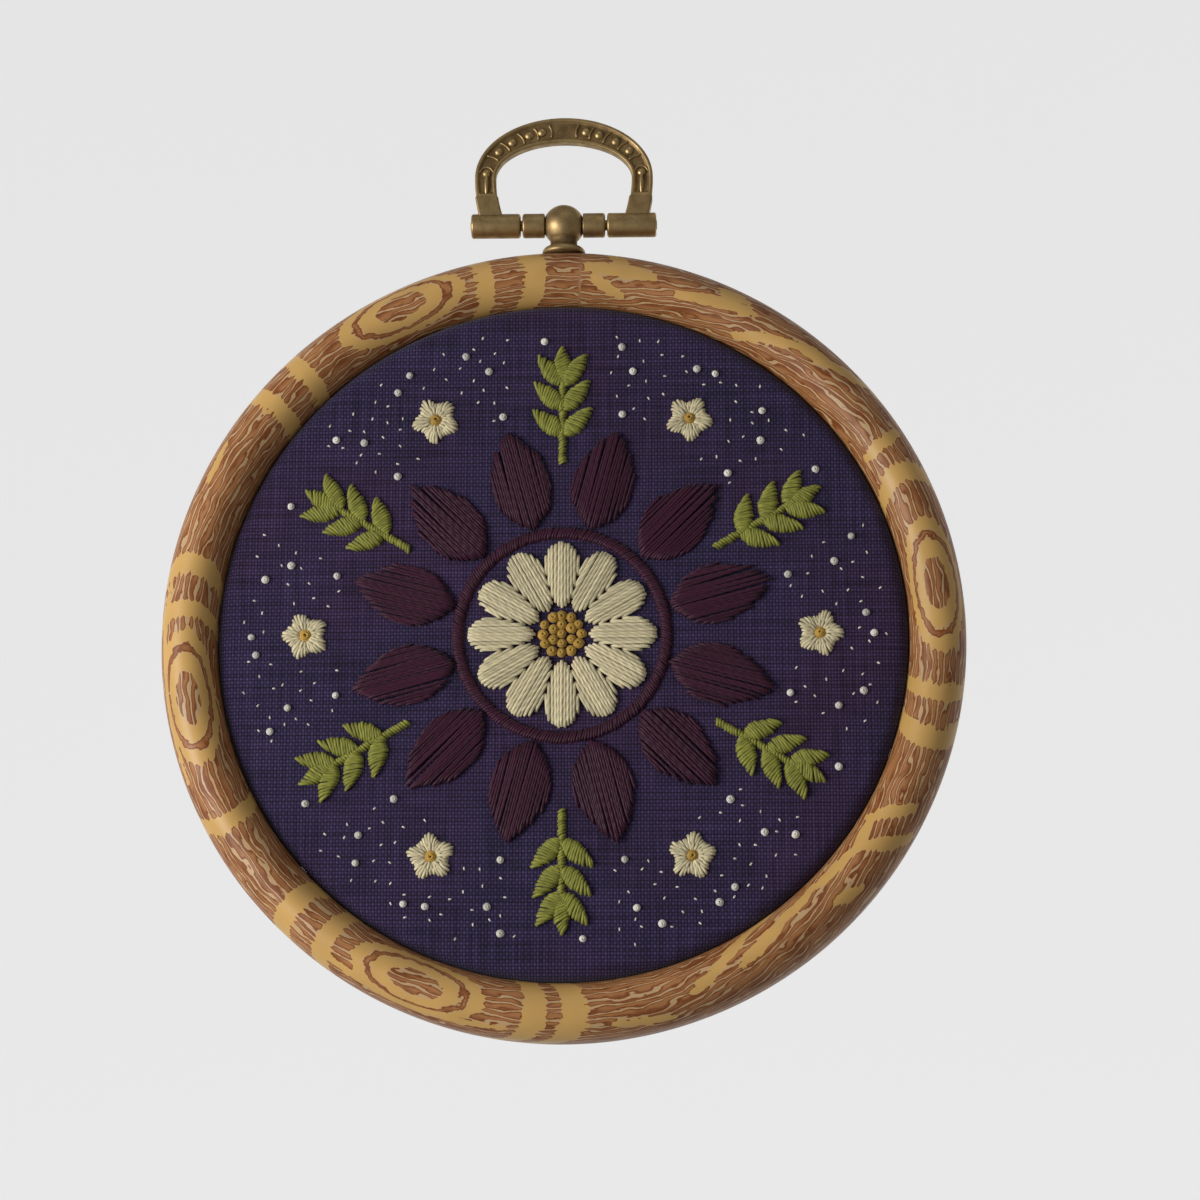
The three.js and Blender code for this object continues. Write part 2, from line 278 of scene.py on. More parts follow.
class ThreadSettings(bpy.types.PropertyGroup):
    """The stranded cotton."""

    width: length_property("Width", "Width of a thread as it lies", 0.46 * MM, 0.1 * MM)
    fine_width: length_property(
        "Fine Width", "Width of the thinner thread of the star", 0.36 * MM, 0.1 * MM
    )
    twist: length_property("Twist", "Length of one turn of the twist", 1.3 * MM, 0.2 * MM)
    cream: colour_property("Cream", "Colour of the petals", "dccfa8")
    gold: colour_property("Gold", "Colour of the flowers' middles", "c29a44")
    plum: colour_property("Plum", "Colour of the star", "3e122a")
    olive: colour_property("Olive", "Colour of the sprigs", "8f8f3c")
    white: colour_property("White", "Colour of the seed stitches", "e6e1d6")


class HangerSettings(bpy.types.PropertyGroup):
    """The antiqued bronze of the hanger."""

    raised: colour_property("Raised", "Colour where the metal is rubbed bright", "c0a473")
    hollow: colour_property("Hollow", "Colour where the metal stays dark", "7d6645")


class StageSettings(bpy.types.PropertyGroup):
    """Light and surroundings."""

    pale: FloatVectorProperty(
        name="Surroundings",
        description="Colour of the pale surroundings",
        subtype="COLOR",
        default=linear("bfbfbf"),
        min=0,
        max=1,
    )
    key_power: FloatProperty(
        name="Key Light", description="Power of the main light", default=1.65, min=0, unit="POWER"
    )
    glow: FloatProperty(
        name="Glow",
        description="How strongly the surroundings behind the piece shine",
        default=1.3,
        min=0,
    )
    front_glow: FloatProperty(
        name="Front Glow",
        description="Share of that glow in front of the piece",
        default=0.14,
        min=0,
        max=1,
        subtype="FACTOR",
    )
    seed: IntProperty(
        name="Seed", description="Start of the unevenness of hand work", default=7, min=0
    )


def feed(tree, node, inputs):
    """Sets or links a node's inputs: each takes a value, a socket or a node.

    A node gives the first of its outputs that is in use, and a colour gets full alpha.
    """
    for name, value in inputs.items():
        socket = node.inputs[name]
        if isinstance(value, bpy.types.Node):
            value = next(output for output in value.outputs if output.enabled)
        if isinstance(value, bpy.types.NodeSocket):
            tree.links.new(value, socket)
        elif socket.type == "RGBA":
            socket.default_value = (*value, 1)
        else:
            socket.default_value = value


def add(tree, kind, inputs=None, **settings):
    """Adds a shader node with its settings and inputs."""
    made = tree.nodes.new("ShaderNode" + kind)
    for name, value in settings.items():
        setattr(made, name, value)
    feed(tree, made, inputs or {})
    return made


def new_material(name):
    """An empty material, its node tree, and its shader already linked to the output."""
    material = bpy.data.materials.new(name)
    material.use_nodes = True
    tree = material.node_tree
    tree.nodes.clear()
    shader = add(tree, "BsdfPrincipled")
    add(tree, "OutputMaterial", {"Surface": shader})
    return material, tree, shader


def streaks(tree, place, sizes, lift=None, **inputs):
    """Noise drawn out into streaks, from the size of a spot along each axis.

    A size of nought leaves it the same along that axis. A lift moves it along Y.
    """
    stretch = [1 / size if size else 0 for size in sizes]
    place = add(tree, "VectorMath", {0: place, 1: stretch}, operation="MULTIPLY")
    if lift is not None:
        lift = add(tree, "CombineXYZ", {"Y": lift})
        place = add(tree, "VectorMath", {0: place, 1: lift}, operation="ADD")
    return add(tree, "TexNoise", {"Vector": place, "Scale": 1, **inputs})


def smooth(low, high, value):
    """Nought below low and one above high, with a soft S between."""
    share = np.clip((value - low) / (high - low), 0, 1)
    return share * share * (3 - 2 * share)


def arc(across, along, radius_across, radius_along, start, end, count):
    """Points on an ellipse about (across, along), from one angle in degrees to another."""
    angle = np.radians(np.linspace(start, end, count))
    return np.stack(
        [across + radius_across * np.cos(angle), along + radius_along * np.sin(angle)], axis=-1
    )


def resampled(outline, count):
    """A closed outline as count points evenly along it, and each one's distance along it."""
    closed = np.concatenate([outline, outline[:1]])
    reach = np.concatenate([[0], np.cumsum(np.linalg.norm(np.diff(closed, axis=0), axis=1))])
    at = np.linspace(0, reach[-1], count, endpoint=False)
    return np.stack([np.interp(at, reach, closed[:, k]) for k in (0, 1)], axis=-1), at


def grid(points, wrap_rows=False, wrap_columns=False, uv=None, **values):
    """A surface of rows and columns of points, its edges joined where it wraps.

    Many alike may be stacked in front. uv has one more row or column where the grid wraps, and
    each named value is one number for each point.
    """
    many = points.reshape((-1,) + points.shape[-3:])
    count, rows, columns, _ = many.shape
    row, column = np.meshgrid(
        np.arange(rows - (not wrap_rows)), np.arange(columns - (not wrap_columns)), indexing="ij"
    )
    row = row.reshape(-1, 1) + [0, 0, 1, 1]
    column = column.reshape(-1, 1) + [0, 1, 1, 0]
    faces = row % rows * columns + column % columns
    faces = faces + np.arange(count)[:, None, None] * rows * columns
    if uv is None:
        uv = np.zeros((rows + 1, columns + 1, 2))
    uv = np.broadcast_to(uv, (count,) + uv.shape[-3:])[:, row, column]
    return {
        "points": many.reshape(-1, 3),
        "faces": faces.reshape(-1, 4),
        "uv": uv.reshape(-1, 2),
        "values": {
            name: np.broadcast_to(value, many.shape[:3]).reshape(-1)
            for name, value in values.items()
        },
    }


def combined(*surfaces):
    """Several surfaces that carry the same values as one."""
    starts = np.cumsum([0] + [len(s["points"]) for s in surfaces])
    return {
        "points": np.concatenate([s["points"] for s in surfaces]),
        "faces": np.concatenate([s["faces"] + n for s, n in zip(surfaces, starts)]),
        "uv": np.concatenate([s["uv"] for s in surfaces]),
        "values": {
            name: np.concatenate([s["values"][name] for s in surfaces])
            for name in surfaces[0]["values"]
        },
    }


def make_piece(name, surface, material, body, nodes=()):
    """A mesh object from a closed surface, its faces turned outwards and its poles merged."""
    points, faces, uv = surface["points"], surface["faces"], surface["uv"]
    a, b, c, d = (points[faces[:, k]] for k in range(4))
    volume = (a * np.cross(b, c)).sum() + (a * np.cross(c, d)).sum()
    if volume < 0:
        faces = faces[:, ::-1]
        uv = uv.reshape(-1, 4, 2)[:, ::-1].reshape(-1, 2)
    mesh = bpy.data.meshes.new(name)
    mesh.from_pydata(points, [], faces.tolist())
    layer = mesh.uv_layers.new(name="surface")
    layer.data.foreach_set("uv", uv.astype(np.float32).ravel())
    for label, value in surface["values"].items():
        attribute = mesh.attributes.new(label, "FLOAT", "POINT")
        attribute.data.foreach_set("value", value.astype(np.float32))
    work = bmesh.new()
    work.from_mesh(mesh)
    bmesh.ops.remove_doubles(work, verts=work.verts, dist=MM / 1000)
    work.to_mesh(mesh)
    work.free()
    mesh.shade_smooth()
    mesh.materials.append(material)
    piece = bpy.data.objects.new(name, mesh)
    bpy.context.scene.collection.objects.link(piece)
    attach(piece, body)
    if nodes:
        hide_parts(*nodes)
    return piece


def turned(section, steps, axis, centre, start=0):
    """A section of (radius, along) carried round an axis, as (steps, section, 3) points.

    Each section point goes round a circle of its radius, at its place along the axis, from a
    start in degrees.
    """
    turn = math.radians(start) + np.linspace(0, 2 * np.pi, steps, endpoint=False)[:, None]
    radius, along = section[:, 0], section[:, 1] + 0 * turn
    side, up = radius * np.sin(turn), radius * np.cos(turn)
    columns = {"X": (along, side, up), "Y": (side, along, up), "Z": (side, up, along)}[axis]
    return np.stack(columns, axis=-1) + centre


def on_cloth(flat, height):
    """Places (across, up) on the worked face, height in front of it, as points in space."""
    return np.stack([flat[..., 0], CLOTH_FACE - height, CENTRE[2] + flat[..., 1]], axis=-1)


def clockwise(flat, degrees):
    """Flat places turned clockwise about the middle, for one angle or several."""
    angle = np.radians(np.asarray(degrees, dtype=float)).reshape(-1, 1)
    across, up = flat[..., 0], flat[..., 1]
    spun = np.stack(
        [
            across * np.cos(angle) + up * np.sin(angle),
            up * np.cos(angle) - across * np.sin(angle),
        ],
        axis=-1,
    )
    return spun.reshape(-1, 2)


def tubes(paths, width, height, sides, strand, wear=None):
    """Closed tubes round many paths at once.

    The section is an ellipse, its width square to the path and along the cloth and its height
    square to both; it closes to a point at each end.
    """
    tangent = np.gradient(paths, axis=1)
    tangent /= np.linalg.norm(tangent, axis=-1, keepdims=True)
    side = np.cross(tangent, (0, -1, 0))
    side /= np.maximum(np.linalg.norm(side, axis=-1, keepdims=True), 1e-9)
    up = np.cross(side, tangent)
    count, samples, _ = paths.shape
    around = np.linspace(0, 2 * np.pi, sides, endpoint=False)
    full = np.ones(samples)
    full[[0, -1]] = 0
    wide = side[:, :, None] * (np.cos(around) * width / 2)[:, None]
    high = up[:, :, None] * (np.sin(around) * height / 2)[:, None]
    points = paths[:, :, None] + (wide + high) * full[:, None, None]
    step = np.linalg.norm(np.diff(paths, axis=1), axis=-1)
    reach = np.concatenate([np.zeros((count, 1)), np.cumsum(step, axis=1)], axis=1)
    reach = reach + np.asarray(strand).reshape(-1, 1)
    uv = np.stack(
        np.broadcast_arrays(reach[:, :, None], np.linspace(0, 1, sides + 1)), axis=-1
    )
    values = {"strand": np.asarray(strand).reshape(-1, 1, 1)}
    if wear is not None:
        values["wear"] = wear
    return grid(points, wrap_columns=True, uv=uv, **values)


THREAD_HEIGHT_SHARE = 0.8
THREAD_SIDES = 7
THREAD_SAMPLES = 11
THREAD_DIVE = 0.5 * MM
THREAD_RISE = 0.55 * MM


def stitches(start, end, lift, width, random, samples=THREAD_SAMPLES, sides=THREAD_SIDES):
    """Threads that climb out of the cloth at start, run straight and dive in again at end.

    Height follows a quarter ellipse from below the face up to lift, over a short rise at each
    end. Samples crowd towards the ends, where the path bends.
    """
    share = (1 - np.cos(np.linspace(0, np.pi, samples))) / 2
    flat = start[:, None] + (end - start)[:, None] * share[:, None]
    length = np.linalg.norm(end - start, axis=-1)[:, None]
    rise = np.minimum(THREAD_RISE, length / 2)
    climb = 1 - np.clip(np.minimum(share, 1 - share) * length / rise, 0, 1)
    lift = np.broadcast_to(lift, length.shape[:1])[:, None]
    height = (lift + THREAD_DIVE) * np.sqrt(1 - climb**2) - THREAD_DIVE
    strand = random.random(len(start))
    return tubes(on_cloth(flat, height), width, width * THREAD_HEIGHT_SHARE, sides, strand)


KNOT_SAMPLES = 40
KNOT_TURNS = 3.2


def knots(places, radius, width, random):
    """French knots: each a thread wound about three turns, rising and closing in, then diving."""
    share = np.linspace(0, 1, KNOT_SAMPLES)
    start = random.uniform(0, 2 * np.pi, (len(places), 1))
    size = radius * random.uniform(0.9, 1.1, (len(places), 1))
    angle = start + share * 2 * np.pi * KNOT_TURNS
    closing = smooth(1, 0.93, share)
    ring = (size - width / 2) * (1 - 0.8 * share**1.3) * closing + 0.02 * MM
    height = width * (0.3 + 1.6 * share) * closing - THREAD_DIVE * (1 - closing)
    flat = places[:, None] + np.stack([ring * np.cos(angle), ring * np.sin(angle)], axis=-1)
    paths = on_cloth(flat, np.broadcast_to(height, ring.shape))
    return tubes(paths, width, width, THREAD_SIDES - 1, random.random(len(places)))


def leaf_side(share, foot, tip, width, fullness):
    """A leaf's half width and distance up, along its side: a cubic curve from foot to tip."""
    reach = width * HANDLE_REACH
    low = foot + (tip - foot) * LOW_HANDLE
    high = foot + (tip - foot) * (HIGH_HANDLE + (1 - HIGH_HANDLE) * fullness)
    left = 1 - share
    across = 3 * share * left * reach
    up = foot * left**3 + 3 * low * share * left**2 + 3 * high * share**2 * left + tip * share**3
    return across, up


def long_stitches(foot, tip, width, fullness, pitch):
    """Starts and ends of threads that run lengthwise between a leaf's two ends.

    A thread's distance from the leaf's middle line meets the leaf's side at two places, which
    solve the side's own curve for that distance.
    """
    count = int(width / pitch)
    across = (np.arange(count) - (count - 1) / 2) * pitch
    half = np.sqrt(np.maximum(0.25 - np.abs(across) / (3 * width * HANDLE_REACH), 0))
    _, low = leaf_side(0.5 - half, foot, tip, width, fullness)
    _, high = leaf_side(0.5 + half, foot, tip, width, fullness)
    return np.stack([across, low], axis=-1), np.stack([across, high], axis=-1)


def cross_stitches(foot, tip, width, fullness, pitch, slant):
    """Starts and ends of slanting threads that run from one side of a leaf to the other."""
    count = int((tip - foot) / pitch)
    share = np.linspace(0.04, 0.96, count)
    left, left_up = leaf_side(np.clip(share - slant, 0.01, 0.99), foot, tip, width, fullness)
    right, right_up = leaf_side(np.clip(share + slant, 0.01, 0.99), foot, tip, width, fullness)
    return np.stack([-left, left_up], axis=-1), np.stack([right, right_up], axis=-1)


def jittered(places, amount, random):
    """Places moved a little, as a hand sets them."""
    return places + random.normal(0, amount, places.shape)


def worked(start, end, turns, stray, lift, width, random):
    """A motif's threads at one or several turns about the middle, as a hand sets them.

    stray is how far the starts and the ends are moved.
    """
    start = jittered(clockwise(start, turns), stray[0], random)
    end = jittered(clockwise(end, turns), stray[1], random)
    return stitches(start, end, lift, width, random)


def crown(start, width, lift):
    """Heights of lengthwise threads: the first lift at the sides, with the second in the middle.

    Between them the height follows a parabola.
    """
    return lift[0] + lift[1] * (1 - (2 * start[:, 0] / width) ** 2)


def rim_outline():
    """The rim's section: an ellipse at the front and rounded corners at the flat back."""
    middle = RIM_RADIUS - RIM_WIDTH / 2
    inside = RIM_RADIUS - RIM_WIDTH
    out, into = RIM_ROUND_OUTSIDE, RIM_ROUND_INSIDE
    return np.concatenate(
        [
            arc(middle, 0, RIM_WIDTH / 2, RIM_BACK, 180, 360, 61),
            arc(RIM_RADIUS - out, RIM_BACK - out, out, out, 0, 90, 13),
            arc(inside + into, RIM_BACK - into, into, into, 90, 180, 9),
        ]
    )


def along_rim(turn, start):
    """Distance in mm along the rim's crest from one angle to another, the shorter way."""
    degree = math.radians(1) * (RIM_RADIUS - RIM_WIDTH / 2) / MM
    return ((turn - start + 180) % 360 - 180) * degree


def print_fields(turn, across):
    """Three fields of the rim's print: its grain in metres, and its clear places and knots.

    Grain lines are level lines of the first. It is the distance across the rim, less a drift
    that grows with the distance run in each slanting stretch. The second is the distance in mm
    to the nearest clear band, a parabola across the rim, or streak, a straight line, and is
    negative inside. The third is half the nearest knot's oval, which is one at its rim.
    """
    across = across / MM
    from_seam = (turn - SEAM) % 360
    grain = across + 0 * turn
    clear = np.full(grain.shape, 9.0)
    oval = np.full(grain.shape, 2.0)
    for start, end, slope in PRINT_SLANTS:
        start, end = (start - SEAM) % 360, (end - SEAM) % 360
        grain -= slope * along_rim(1, 0) * (np.clip(from_seam, start, end) - start)
    for angle, half, bow in PRINT_BANDS:
        away = along_rim(turn, angle) + bow * across**2
        before = -away - half
        before = np.where(before > 0, before / 2, before)
        clear = np.minimum(clear, np.maximum(away - half, before))
    for start, low, end, high, half in PRINT_STREAKS:
        away, beside = along_rim(turn, start), across - low
        run, rise = along_rim(end, start), high - low
        share = np.clip((away * run + beside * rise) / (run**2 + rise**2), 0, 1)
        beyond = np.hypot(away - share * run, beside - share * rise)
        clear = np.minimum(clear, beyond - half * (1 - 0.5 * (2 * share - 1) ** 2))
    for angle in PRINT_KNOTS:
        away = along_rim(turn, angle) / KNOT_HALF_LENGTH
        oval = np.minimum(oval, np.hypot(away, across / KNOT_HALF_WIDTH))
    return grain * MM, clear, oval / 2


# Sizes of the spots in the print's noise
TORN_SPOT = 1.25 * MM
WAVER_SPOT = 4 * MM
BREAK_SPOT = 1.613 * MM
VINYL_CLOUD = 5.263 * MM


def woodgrain_vinyl(settings):
    """Soft vinyl, extruded, with a woodgrain transfer: satin, the print sharp but flat.

    Brown strokes follow the grain with wavering, broken edges, and are lighter along their
    middles. Thin pale gaps part them, and the bare vinyl is ochre in the clear bands, in the
    streaks and round each knot's line.
    """
    material, tree, shader = new_material("woodgrain_vinyl_printed")
    place = add(tree, "TexCoord").outputs["Object"]
    grain, clear, oval = (
        add(tree, "Attribute", attribute_name=name).outputs["Fac"]
        for name in ("grain", "clear", "oval")
    )
    torn = streaks(tree, place, (TORN_SPOT, 0, TORN_SPOT), Detail=2)
    torn = add(tree, "Math", {0: torn, 1: 0.5}, operation="SUBTRACT")
    clear = add(tree, "Math", {0: torn, 1: 1.1, 2: clear}, operation="MULTIPLY_ADD")
    oval = add(tree, "Math", {0: torn, 1: 0.12, 2: oval}, operation="MULTIPLY_ADD")
    pitches = add(tree, "Math", {0: grain, 1: settings.streak_pitch}, operation="DIVIDE")
    lift = add(tree, "Math", {0: pitches, 1: 0.6}, operation="MULTIPLY")
    waver = streaks(tree, place, (WAVER_SPOT, 0, WAVER_SPOT), lift, Detail=1)
    shifted = add(tree, "Math", {0: waver, 1: 2.4, 2: pitches}, operation="MULTIPLY_ADD")
    wave = add(tree, "Math", {0: shifted, 1: 0.5}, operation="PINGPONG")
    wave = add(tree, "Math", {0: wave, 1: 2}, operation="MULTIPLY")
    line = add(tree, "Math", {0: oval, 1: KNOT_LINE / 2}, operation="SUBTRACT")
    line = add(tree, "Math", {0: line}, operation="ABSOLUTE")
    fineness = 4 * KNOT_HALF_WIDTH * MM / settings.streak_pitch
    line = add(tree, "Math", {0: line, 1: fineness}, operation="MULTIPLY")
    round_knot = add(tree, "Math", {0: oval, 1: 0.37, 2: 0.15}, operation="COMPARE")
    level = add(tree, "Mix", {0: round_knot, 2: wave, 3: line}, data_type="FLOAT")
    lift = add(tree, "Math", {0: pitches, 1: 1.3}, operation="MULTIPLY")
    broken = streaks(tree, place, (BREAK_SPOT, 0, BREAK_SPOT), lift, Detail=3, Roughness=0.6)
    level = add(tree, "Math", {0: broken, 1: 1.1, 2: level}, operation="MULTIPLY_ADD")
    rings = add(tree, "ValToRGB", {0: oval})
    rings.color_ramp.elements[0].color = (1, 1, 1, 1)
    for share, value in KNOT_RINGS:
        rings.color_ramp.elements.new(share / 2).color = (value, value, value, 1)
    edge = add(tree, "MapRange", {"Value": clear, "From Min": 0, "From Max": 0.4})
    printed = add(tree, "Math", {0: rings, 1: edge}, operation="MULTIPLY")
    cover = add(tree, "MapRange", {"Value": printed, "To Min": 0.2, "To Max": 1.32})
    over = add(tree, "Math", {0: cover, 1: level}, operation="SUBTRACT")
    soft_edge = {"Value": over, "From Min": -0.05, "From Max": 0.1}
    ink = add(tree, "MapRange", soft_edge, interpolation_type="SMOOTHSTEP")
    between = add(tree, "MapRange", {"Value": printed, "From Min": 0.6, "From Max": 0.95})
    pale = add(tree, "Mix", {0: between, 6: settings.ochre, 7: settings.gap}, data_type="RGBA")
    inside = add(tree, "MapRange", {"Value": over, "From Min": 0.2, "From Max": 0.5})
    haze = add(tree, "MapRange", {"Value": waver, "From Min": 0.3, "From Max": 0.55})
    inside = add(tree, "Math", {0: inside, 1: haze}, operation="MULTIPLY")
    browns = {0: inside, 6: settings.stroke, 7: settings.stroke_middle}
    brown = add(tree, "Mix", browns, data_type="RGBA")
    colour = add(tree, "Mix", {0: ink, 6: pale, 7: brown}, data_type="RGBA")
    cloud = add(tree, "TexNoise", {"Vector": place, "Scale": 1 / VINYL_CLOUD, "Detail": 3})
    tone = add(tree, "MapRange", {"Value": cloud, "To Min": 0.82, "To Max": 1.14})
    colour = add(tree, "VectorMath", {0: colour, 1: tone}, operation="MULTIPLY")
    rough = add(tree, "MapRange", {"Value": ink, "To Min": 0.42, "To Max": 0.5})
    bump = add(tree, "Bump", {"Strength": 0.35, "Distance": 0.03 * MM, "Height": ink})
    feed(tree, shader, {"Base Color": colour, "Roughness": rough, "Normal": bump})
    feed(tree, shader, {"IOR": 1.53, "Specular IOR Level": 0.35})
    return material


# Sizes of the plastic's grain and clouds
PLASTIC_GRAIN = 0.2857 * MM
PLASTIC_CLOUD = 8.333 * MM


def moulded_plastic(settings):
    """Hard plastic, injection moulded: even colour, a fine grain and low gloss."""
    material, tree, shader = new_material("inner_ring_plastic_moulded")
    place = add(tree, "TexCoord").outputs["Object"]
    grain = add(tree, "TexNoise", {"Vector": place, "Scale": 1 / PLASTIC_GRAIN, "Detail": 2})
    cloud = add(tree, "TexNoise", {"Vector": place, "Scale": 1 / PLASTIC_CLOUD, "Detail": 3})
    tone = add(tree, "MapRange", {"Value": cloud, "To Min": 0.93, "To Max": 1.05})
    colour = add(tree, "VectorMath", {0: settings.colour, 1: tone}, operation="MULTIPLY")
    rough = add(tree, "MapRange", {"Value": cloud, "To Min": 0.38, "To Max": 0.5})
    bump = add(tree, "Bump", {"Strength": 0.2, "Distance": 0.01 * MM, "Height": grain})
    feed(tree, shader, {"Base Color": colour, "Roughness": rough, "Normal": bump, "IOR": 1.5})
    return material


# Sizes of the cloth's unevenness: its threads' wander, the patches and clouds of
# its dye, and the thick places in its threads, which are about a thread wide
WANDER_SPOT = 3.846 * MM
WANDER = 0.12 * MM
PATCH_SPOT = 23.81 * MM
DYE_CLOUD = 18.18 * MM
SLUB_LENGTH = 11.11 * MM
WARP_SLUB = 0.3846 * MM
WEFT_SLUB = 0.4348 * MM


def plain_weave(settings):
    """Cotton muslin, dyed and woven one over one: upright and cross threads take turns on top.

    The surface's own map holds the place on the flat cut. The product of two sines changes sign
    from one crossing to the next and peaks in each one's middle.
    """
    material, tree, shader = new_material("violet_muslin_woven")
    cut = add(tree, "UVMap", uv_map="surface")
    drift = add(tree, "TexNoise", {"Vector": cut, "Scale": 1 / WANDER_SPOT, "Detail": 2})
    drift = drift.outputs["Color"]
    drift = add(tree, "VectorMath", {0: drift, 1: (0.5, 0.5, 0.5)}, operation="SUBTRACT")
    drift = add(tree, "VectorMath", {0: drift, "Scale": WANDER}, operation="SCALE")
    cut = add(tree, "VectorMath", {0: cut, 1: drift}, operation="ADD")
    turns = (math.pi / settings.warp_pitch, math.pi / settings.weft_pitch, 0)
    phase = add(tree, "VectorMath", {0: cut, 1: turns}, operation="MULTIPLY")
    phase = add(tree, "SeparateXYZ", {0: phase})
    warp = add(tree, "Math", {0: phase.outputs[0]}, operation="SINE")
    weft = add(tree, "Math", {0: phase.outputs[1]}, operation="SINE")
    crossing = add(tree, "Math", {0: warp, 1: weft}, operation="MULTIPLY")
    height = add(tree, "Math", {0: crossing}, operation="ABSOLUTE")
    on_top = add(tree, "MapRange", {"Value": crossing, "From Min": -0.3, "From Max": 0.3})
    colour = add(tree, "Mix", {0: on_top, 6: settings.weft, 7: settings.warp}, data_type="RGBA")
    warmth = add(tree, "TexNoise", {"Vector": cut, "Scale": 1 / PATCH_SPOT, "Detail": 3})
    warm = {"Value": warmth, "From Min": 0.42, "From Max": 0.68, "To Max": 0.55}
    warmth = add(tree, "MapRange", warm)
    colour = add(tree, "Mix", {0: warmth, 6: colour, 7: settings.patch}, data_type="RGBA")
    slub = streaks(tree, cut, (WARP_SLUB, SLUB_LENGTH, 0), Detail=2)
    cross_slub = streaks(tree, cut, (SLUB_LENGTH, WEFT_SLUB, 0), Detail=2)
    slubs = add(tree, "Math", {0: slub, 1: cross_slub}, operation="ADD")
    clouds = {"Vector": cut, "Scale": 1 / DYE_CLOUD, "Detail": 4, "Roughness": 0.6}
    dye = add(tree, "TexNoise", clouds)
    tone = add(tree, "Math", {0: slubs, 1: 1.5, 2: -0.9}, operation="MULTIPLY_ADD")
    tone = add(tree, "Math", {0: dye, 1: 0.8, 2: tone}, operation="MULTIPLY_ADD")
    # Painted shade and highlight: the colour is darkened where the threads dip between crossings
    # and lightened on each crossing's top
    depth = add(tree, "MapRange", {"Value": height, "To Min": 0.22, "To Max": 1.5})
    tone = add(tree, "Math", {0: tone, 1: depth}, operation="MULTIPLY")
    colour = add(tree, "VectorMath", {0: colour, 1: tone}, operation="MULTIPLY")
    raised = add(tree, "Math", {0: slubs, 1: 0.35, 2: height}, operation="MULTIPLY_ADD")
    bump = add(tree, "Bump", {"Strength": 0.8, "Distance": 0.06 * MM, "Height": raised})
    feed(tree, shader, {"Base Color": colour, "Normal": bump, "Roughness": 0.88})
    feed(tree, shader, {"Specular IOR Level": 0.2, "Sheen Weight": 0.12, "Sheen Roughness": 0.5})
    return material


# Streaks along a thread and round it: real fibres are far finer and longer
STREAK_LENGTH = 1.1111 * MM
STREAKS_ROUND = 9
PLIES = 2


def stranded_cotton(name, colour, settings):
    """Mercerised cotton, spun and twisted in plies: soft gloss, each ply a slanting ridge.

    The surface's map runs along the thread in metres and once round it, so the plies are
    stripes that slant across both. The strand value sets each thread a little apart in tone.
    """
    material, tree, shader = new_material(name)
    run = add(tree, "UVMap", uv_map="surface")
    along, about, _ = add(tree, "SeparateXYZ", {0: run}).outputs
    turns = add(tree, "Math", {0: along, 1: settings.twist}, operation="DIVIDE")
    plies = add(tree, "Math", {0: about, 1: PLIES, 2: turns}, operation="MULTIPLY_ADD")
    plies = add(tree, "Math", {0: plies, 1: 2 * math.pi}, operation="MULTIPLY")
    plies = add(tree, "Math", {0: plies}, operation="SINE")
    ridge = add(tree, "MapRange", {"Value": plies, "From Min": -1, "From Max": 1})
    fibre = streaks(tree, run, (STREAK_LENGTH, 1 / STREAKS_ROUND, 0), Detail=3)
    strand = add(tree, "Attribute", attribute_name="strand").outputs["Fac"]
    strand_tone = add(tree, "MapRange", {"Value": strand, "To Min": 0.78, "To Max": 1.16})
    # Painted shade: the colour is darker in the grooves between the plies and a little lighter on
    # their crowns
    ply_groove_shade = add(tree, "MapRange", {"Value": ridge, "To Min": 0.8, "To Max": 1.08})
    fibre_tone = add(tree, "MapRange", {"Value": fibre, "To Min": 0.8, "To Max": 1.2})
    tone = add(tree, "Math", {0: strand_tone, 1: ply_groove_shade}, operation="MULTIPLY")
    tone = add(tree, "Math", {0: tone, 1: fibre_tone}, operation="MULTIPLY")
    shade = add(tree, "VectorMath", {0: tuple(colour), 1: tone}, operation="MULTIPLY")
    raised = add(tree, "Math", {0: fibre, 1: 0.4, 2: ridge}, operation="MULTIPLY_ADD")
    bump = add(tree, "Bump", {"Strength": 0.6, "Distance": 0.05 * MM, "Height": raised})
    feed(tree, shader, {"Base Color": shade, "Normal": bump, "Roughness": 0.55})
    feed(tree, shader, {"Specular IOR Level": 0.3, "Sheen Weight": 0.12, "Sheen Roughness": 0.4})
    return material


# Sizes of the clouds of tarnish and of the pits
TARNISH_SPOT = 1.4286 * MM
CAST_PIT = 0.2381 * MM


def aged_bronze(settings):
    """Zinc cast, bronze plated and antiqued: dark in the hollows, rubbed brighter on high places.

    The wear value says how much a place is rubbed; clouds of tarnish break it up.
    """
    material, tree, shader = new_material("bronze_plated_antiqued")
    place = add(tree, "TexCoord").outputs["Object"]
    wear = add(tree, "Attribute", attribute_name="wear").outputs["Fac"]
    clouds = {"Vector": place, "Scale": 1 / TARNISH_SPOT, "Detail": 5, "Roughness": 0.62}
    cloud = add(tree, "TexNoise", clouds)
    pit = add(tree, "TexNoise", {"Vector": place, "Scale": 1 / CAST_PIT, "Detail": 3})
    rubbed = add(tree, "Math", {0: cloud, 1: 1.7, 2: -0.85}, operation="MULTIPLY_ADD")
    rubbed = add(tree, "Math", {0: rubbed, 1: wear}, operation="ADD", use_clamp=True)
    metals = {0: rubbed, 6: settings.hollow, 7: settings.raised}
    colour = add(tree, "Mix", metals, data_type="RGBA")
    rough = add(tree, "MapRange", {"Value": rubbed, "To Min": 0.66, "To Max": 0.43})
    bump = add(tree, "Bump", {"Strength": 0.3, "Distance": 0.02 * MM, "Height": pit})
    feed(tree, shader, {"Base Color": colour, "Roughness": rough, "Normal": bump, "Metallic": 1})
    return material


GLOW_FADE = (-0.3, 1.2)
